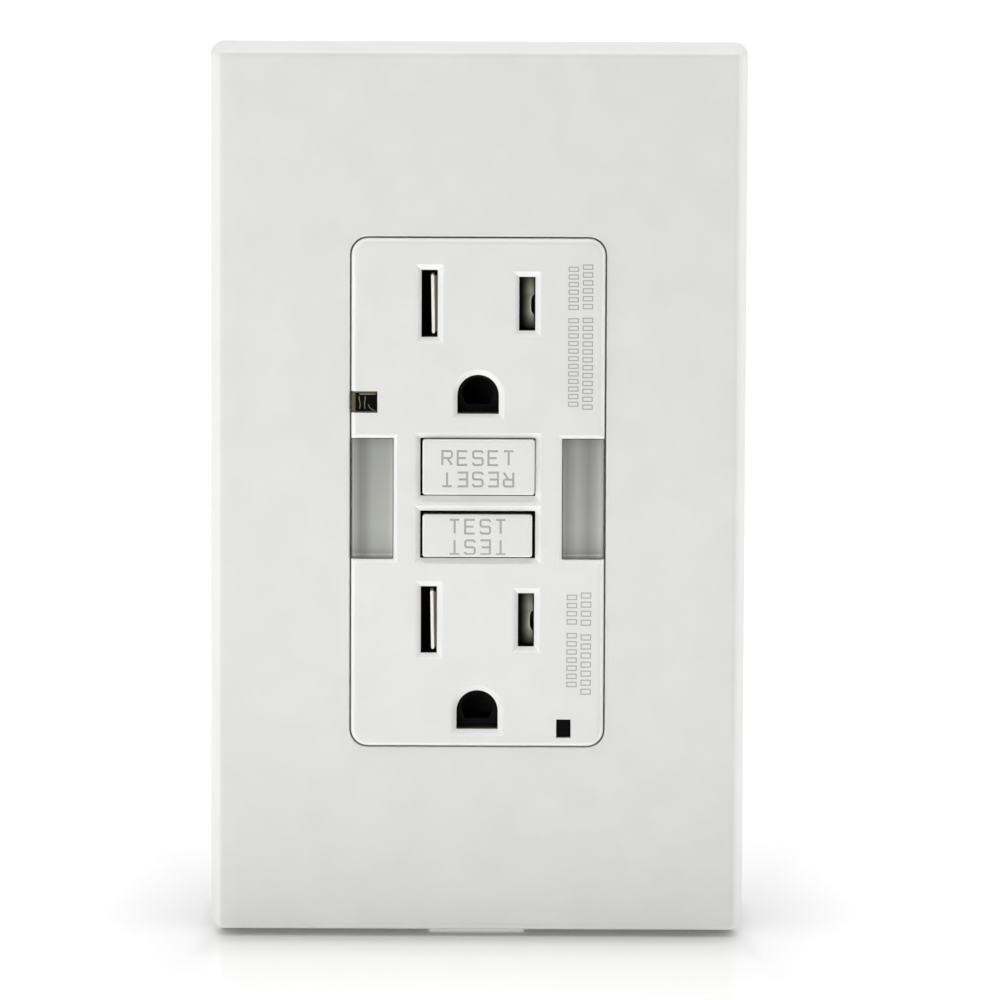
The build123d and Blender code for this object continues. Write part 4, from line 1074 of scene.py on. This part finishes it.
def make_floor():
    """A pale glossy floor that glows more the further it is from the plate: a painted shadow round the
    plate.
    """
    bpy.ops.mesh.primitive_plane_add(size=40, location=(0, 0, PLATE_LOW.z))
    floor = bpy.context.object
    floor.name = "floor"
    material, shader, place = new_surface("floor")
    tone = noise(material, place, 0.5, 2.0)
    link(material, ramp(material, tone, (0.9, 0.9, 0.9), (0.92, 0.92, 0.92)), shader.inputs["Base Color"])
    shader.inputs["Roughness"].default_value = 0.1
    shader.inputs["Emission Color"].default_value = (1, 1, 1, 1)
    ahead = calculate(material, "ABSOLUTE", axis_value(material, place, "Y"), 0.0)
    aside = calculate(material, "ABSOLUTE", axis_value(material, place, "X"), 0.0)
    start = SIDE_GLOW_START - SIDE_GLOW_RISE * PLATE_HIGH.x
    beside = calculate(material, "MULTIPLY_ADD", aside, SIDE_GLOW_RISE, start)
    away = calculate(material, "MAXIMUM", ahead, beside)
    glow = tone_curve(material, span_of(material, away, 0.0, GLOW_REACH), GLOW_LEVELS, (1.0, 1.0, 1.0))
    link(material, glow, shader.inputs["Emission Strength"])
    floor.data.materials.append(material)


# The room's brightness from behind the camera, 0, to behind the plate, 1
ROOM_LEVELS = ((0.05, 0.09), (0.3, 0.18), (0.42, 0.95), (0.5, 0.76), (0.6, 0.73))
BACKGROUND_LEVEL = 1.05


def make_world():
    """A white room, dark behind the camera and dimmer as a light than as a background."""
    world = bpy.data.worlds.new("studio")
    world.use_nodes = True
    nodes = world.node_tree.nodes
    links = world.node_tree.links
    background = nodes["Background"]
    background.inputs["Color"].default_value = (1, 1, 1, 1)
    direction = nodes.new("ShaderNodeTexCoord")
    axes = nodes.new("ShaderNodeSeparateXYZ")
    links.new(direction.outputs["Generated"], axes.inputs["Vector"])
    room = nodes.new("ShaderNodeValToRGB")
    for spare in range(len(ROOM_LEVELS) - len(room.color_ramp.elements)):
        room.color_ramp.elements.new(0.5)
    for element, (position, level) in zip(room.color_ramp.elements, ROOM_LEVELS):
        element.position = position
        element.color = (level, level, level, 1)
    depth = nodes.new("ShaderNodeMapRange")
    depth.inputs["From Min"].default_value = -1
    links.new(axes.outputs["Y"], depth.inputs["Value"])
    links.new(depth.outputs["Result"], room.inputs["Fac"])
    path = nodes.new("ShaderNodeLightPath")
    strength = nodes.new("ShaderNodeMapRange")
    strength.inputs["To Max"].default_value = BACKGROUND_LEVEL
    links.new(path.outputs["Is Camera Ray"], strength.inputs["Value"])
    links.new(room.outputs["Color"], strength.inputs["To Min"])
    links.new(strength.outputs["Result"], background.inputs["Strength"])
    bpy.context.scene.world = world


# Each light's place and target in metres, the side of its square, and its power in watts
LIGHTS = (
    ("key", (-0.25, -0.1, -0.03), (0, 0, 0), 0.14, 0.125),
    ("top", (0.0, -0.09, 0.6), (0, 0, 0), 0.4, 1.45),
    ("low", (0.0, -0.13, -0.045), (0, 0, -0.04), 0.06, 0.022),
    ("right", (0.55, 0.04, 0.0), (0, 0, 0), 0.4, 0.48),
    ("front", (-0.25, -0.9, 0.0), (0, 0, 0), 0.3, 1.55),
)


def make_light(name, position, target, size, power):
    """A square soft box that faces its target."""
    data = bpy.data.lights.new(name, "AREA")
    data.size = size
    data.energy = power
    light = bpy.data.objects.new(name, data)
    light.location = position
    light.rotation_euler = (Vector(target) - Vector(position)).to_track_quat("-Z", "Y").to_euler()
    bpy.context.collection.objects.link(light)


CAMERA_DISTANCE = 0.9
CAMERA_ELEVATION = math.radians(6.0)
CAMERA_ROLL = math.radians(0.22)
FRAMED_WIDTH = 0.13031
AIM_OFFSET = Vector((2.9 * MM, 0, -0.85 * MM))


def make_camera():
    """Looks slightly down at the face, with the plate a little left of the middle."""
    data = bpy.data.cameras.new("camera")
    data.sensor_width = 36
    data.lens = data.sensor_width * CAMERA_DISTANCE / FRAMED_WIDTH
    data.clip_start = 0.05
    data.clip_end = 20
    camera = bpy.data.objects.new("camera", data)
    target = FACE_CENTRE + AIM_OFFSET
    back = Vector((0, -math.cos(CAMERA_ELEVATION), math.sin(CAMERA_ELEVATION)))
    camera.location = target + CAMERA_DISTANCE * back
    turn = (-back).to_track_quat("-Z", "Y").to_matrix() @ Matrix.Rotation(CAMERA_ROLL, 3, "Z")
    camera.rotation_euler = turn.to_euler()
    bpy.context.collection.objects.link(camera)
    bpy.context.scene.camera = camera


make_floor()
make_world()
make_camera()
for name, position, target, size, power in LIGHTS:
    make_light(name, position, target, size, power)
bpy.context.scene.view_settings.view_transform = "Standard"
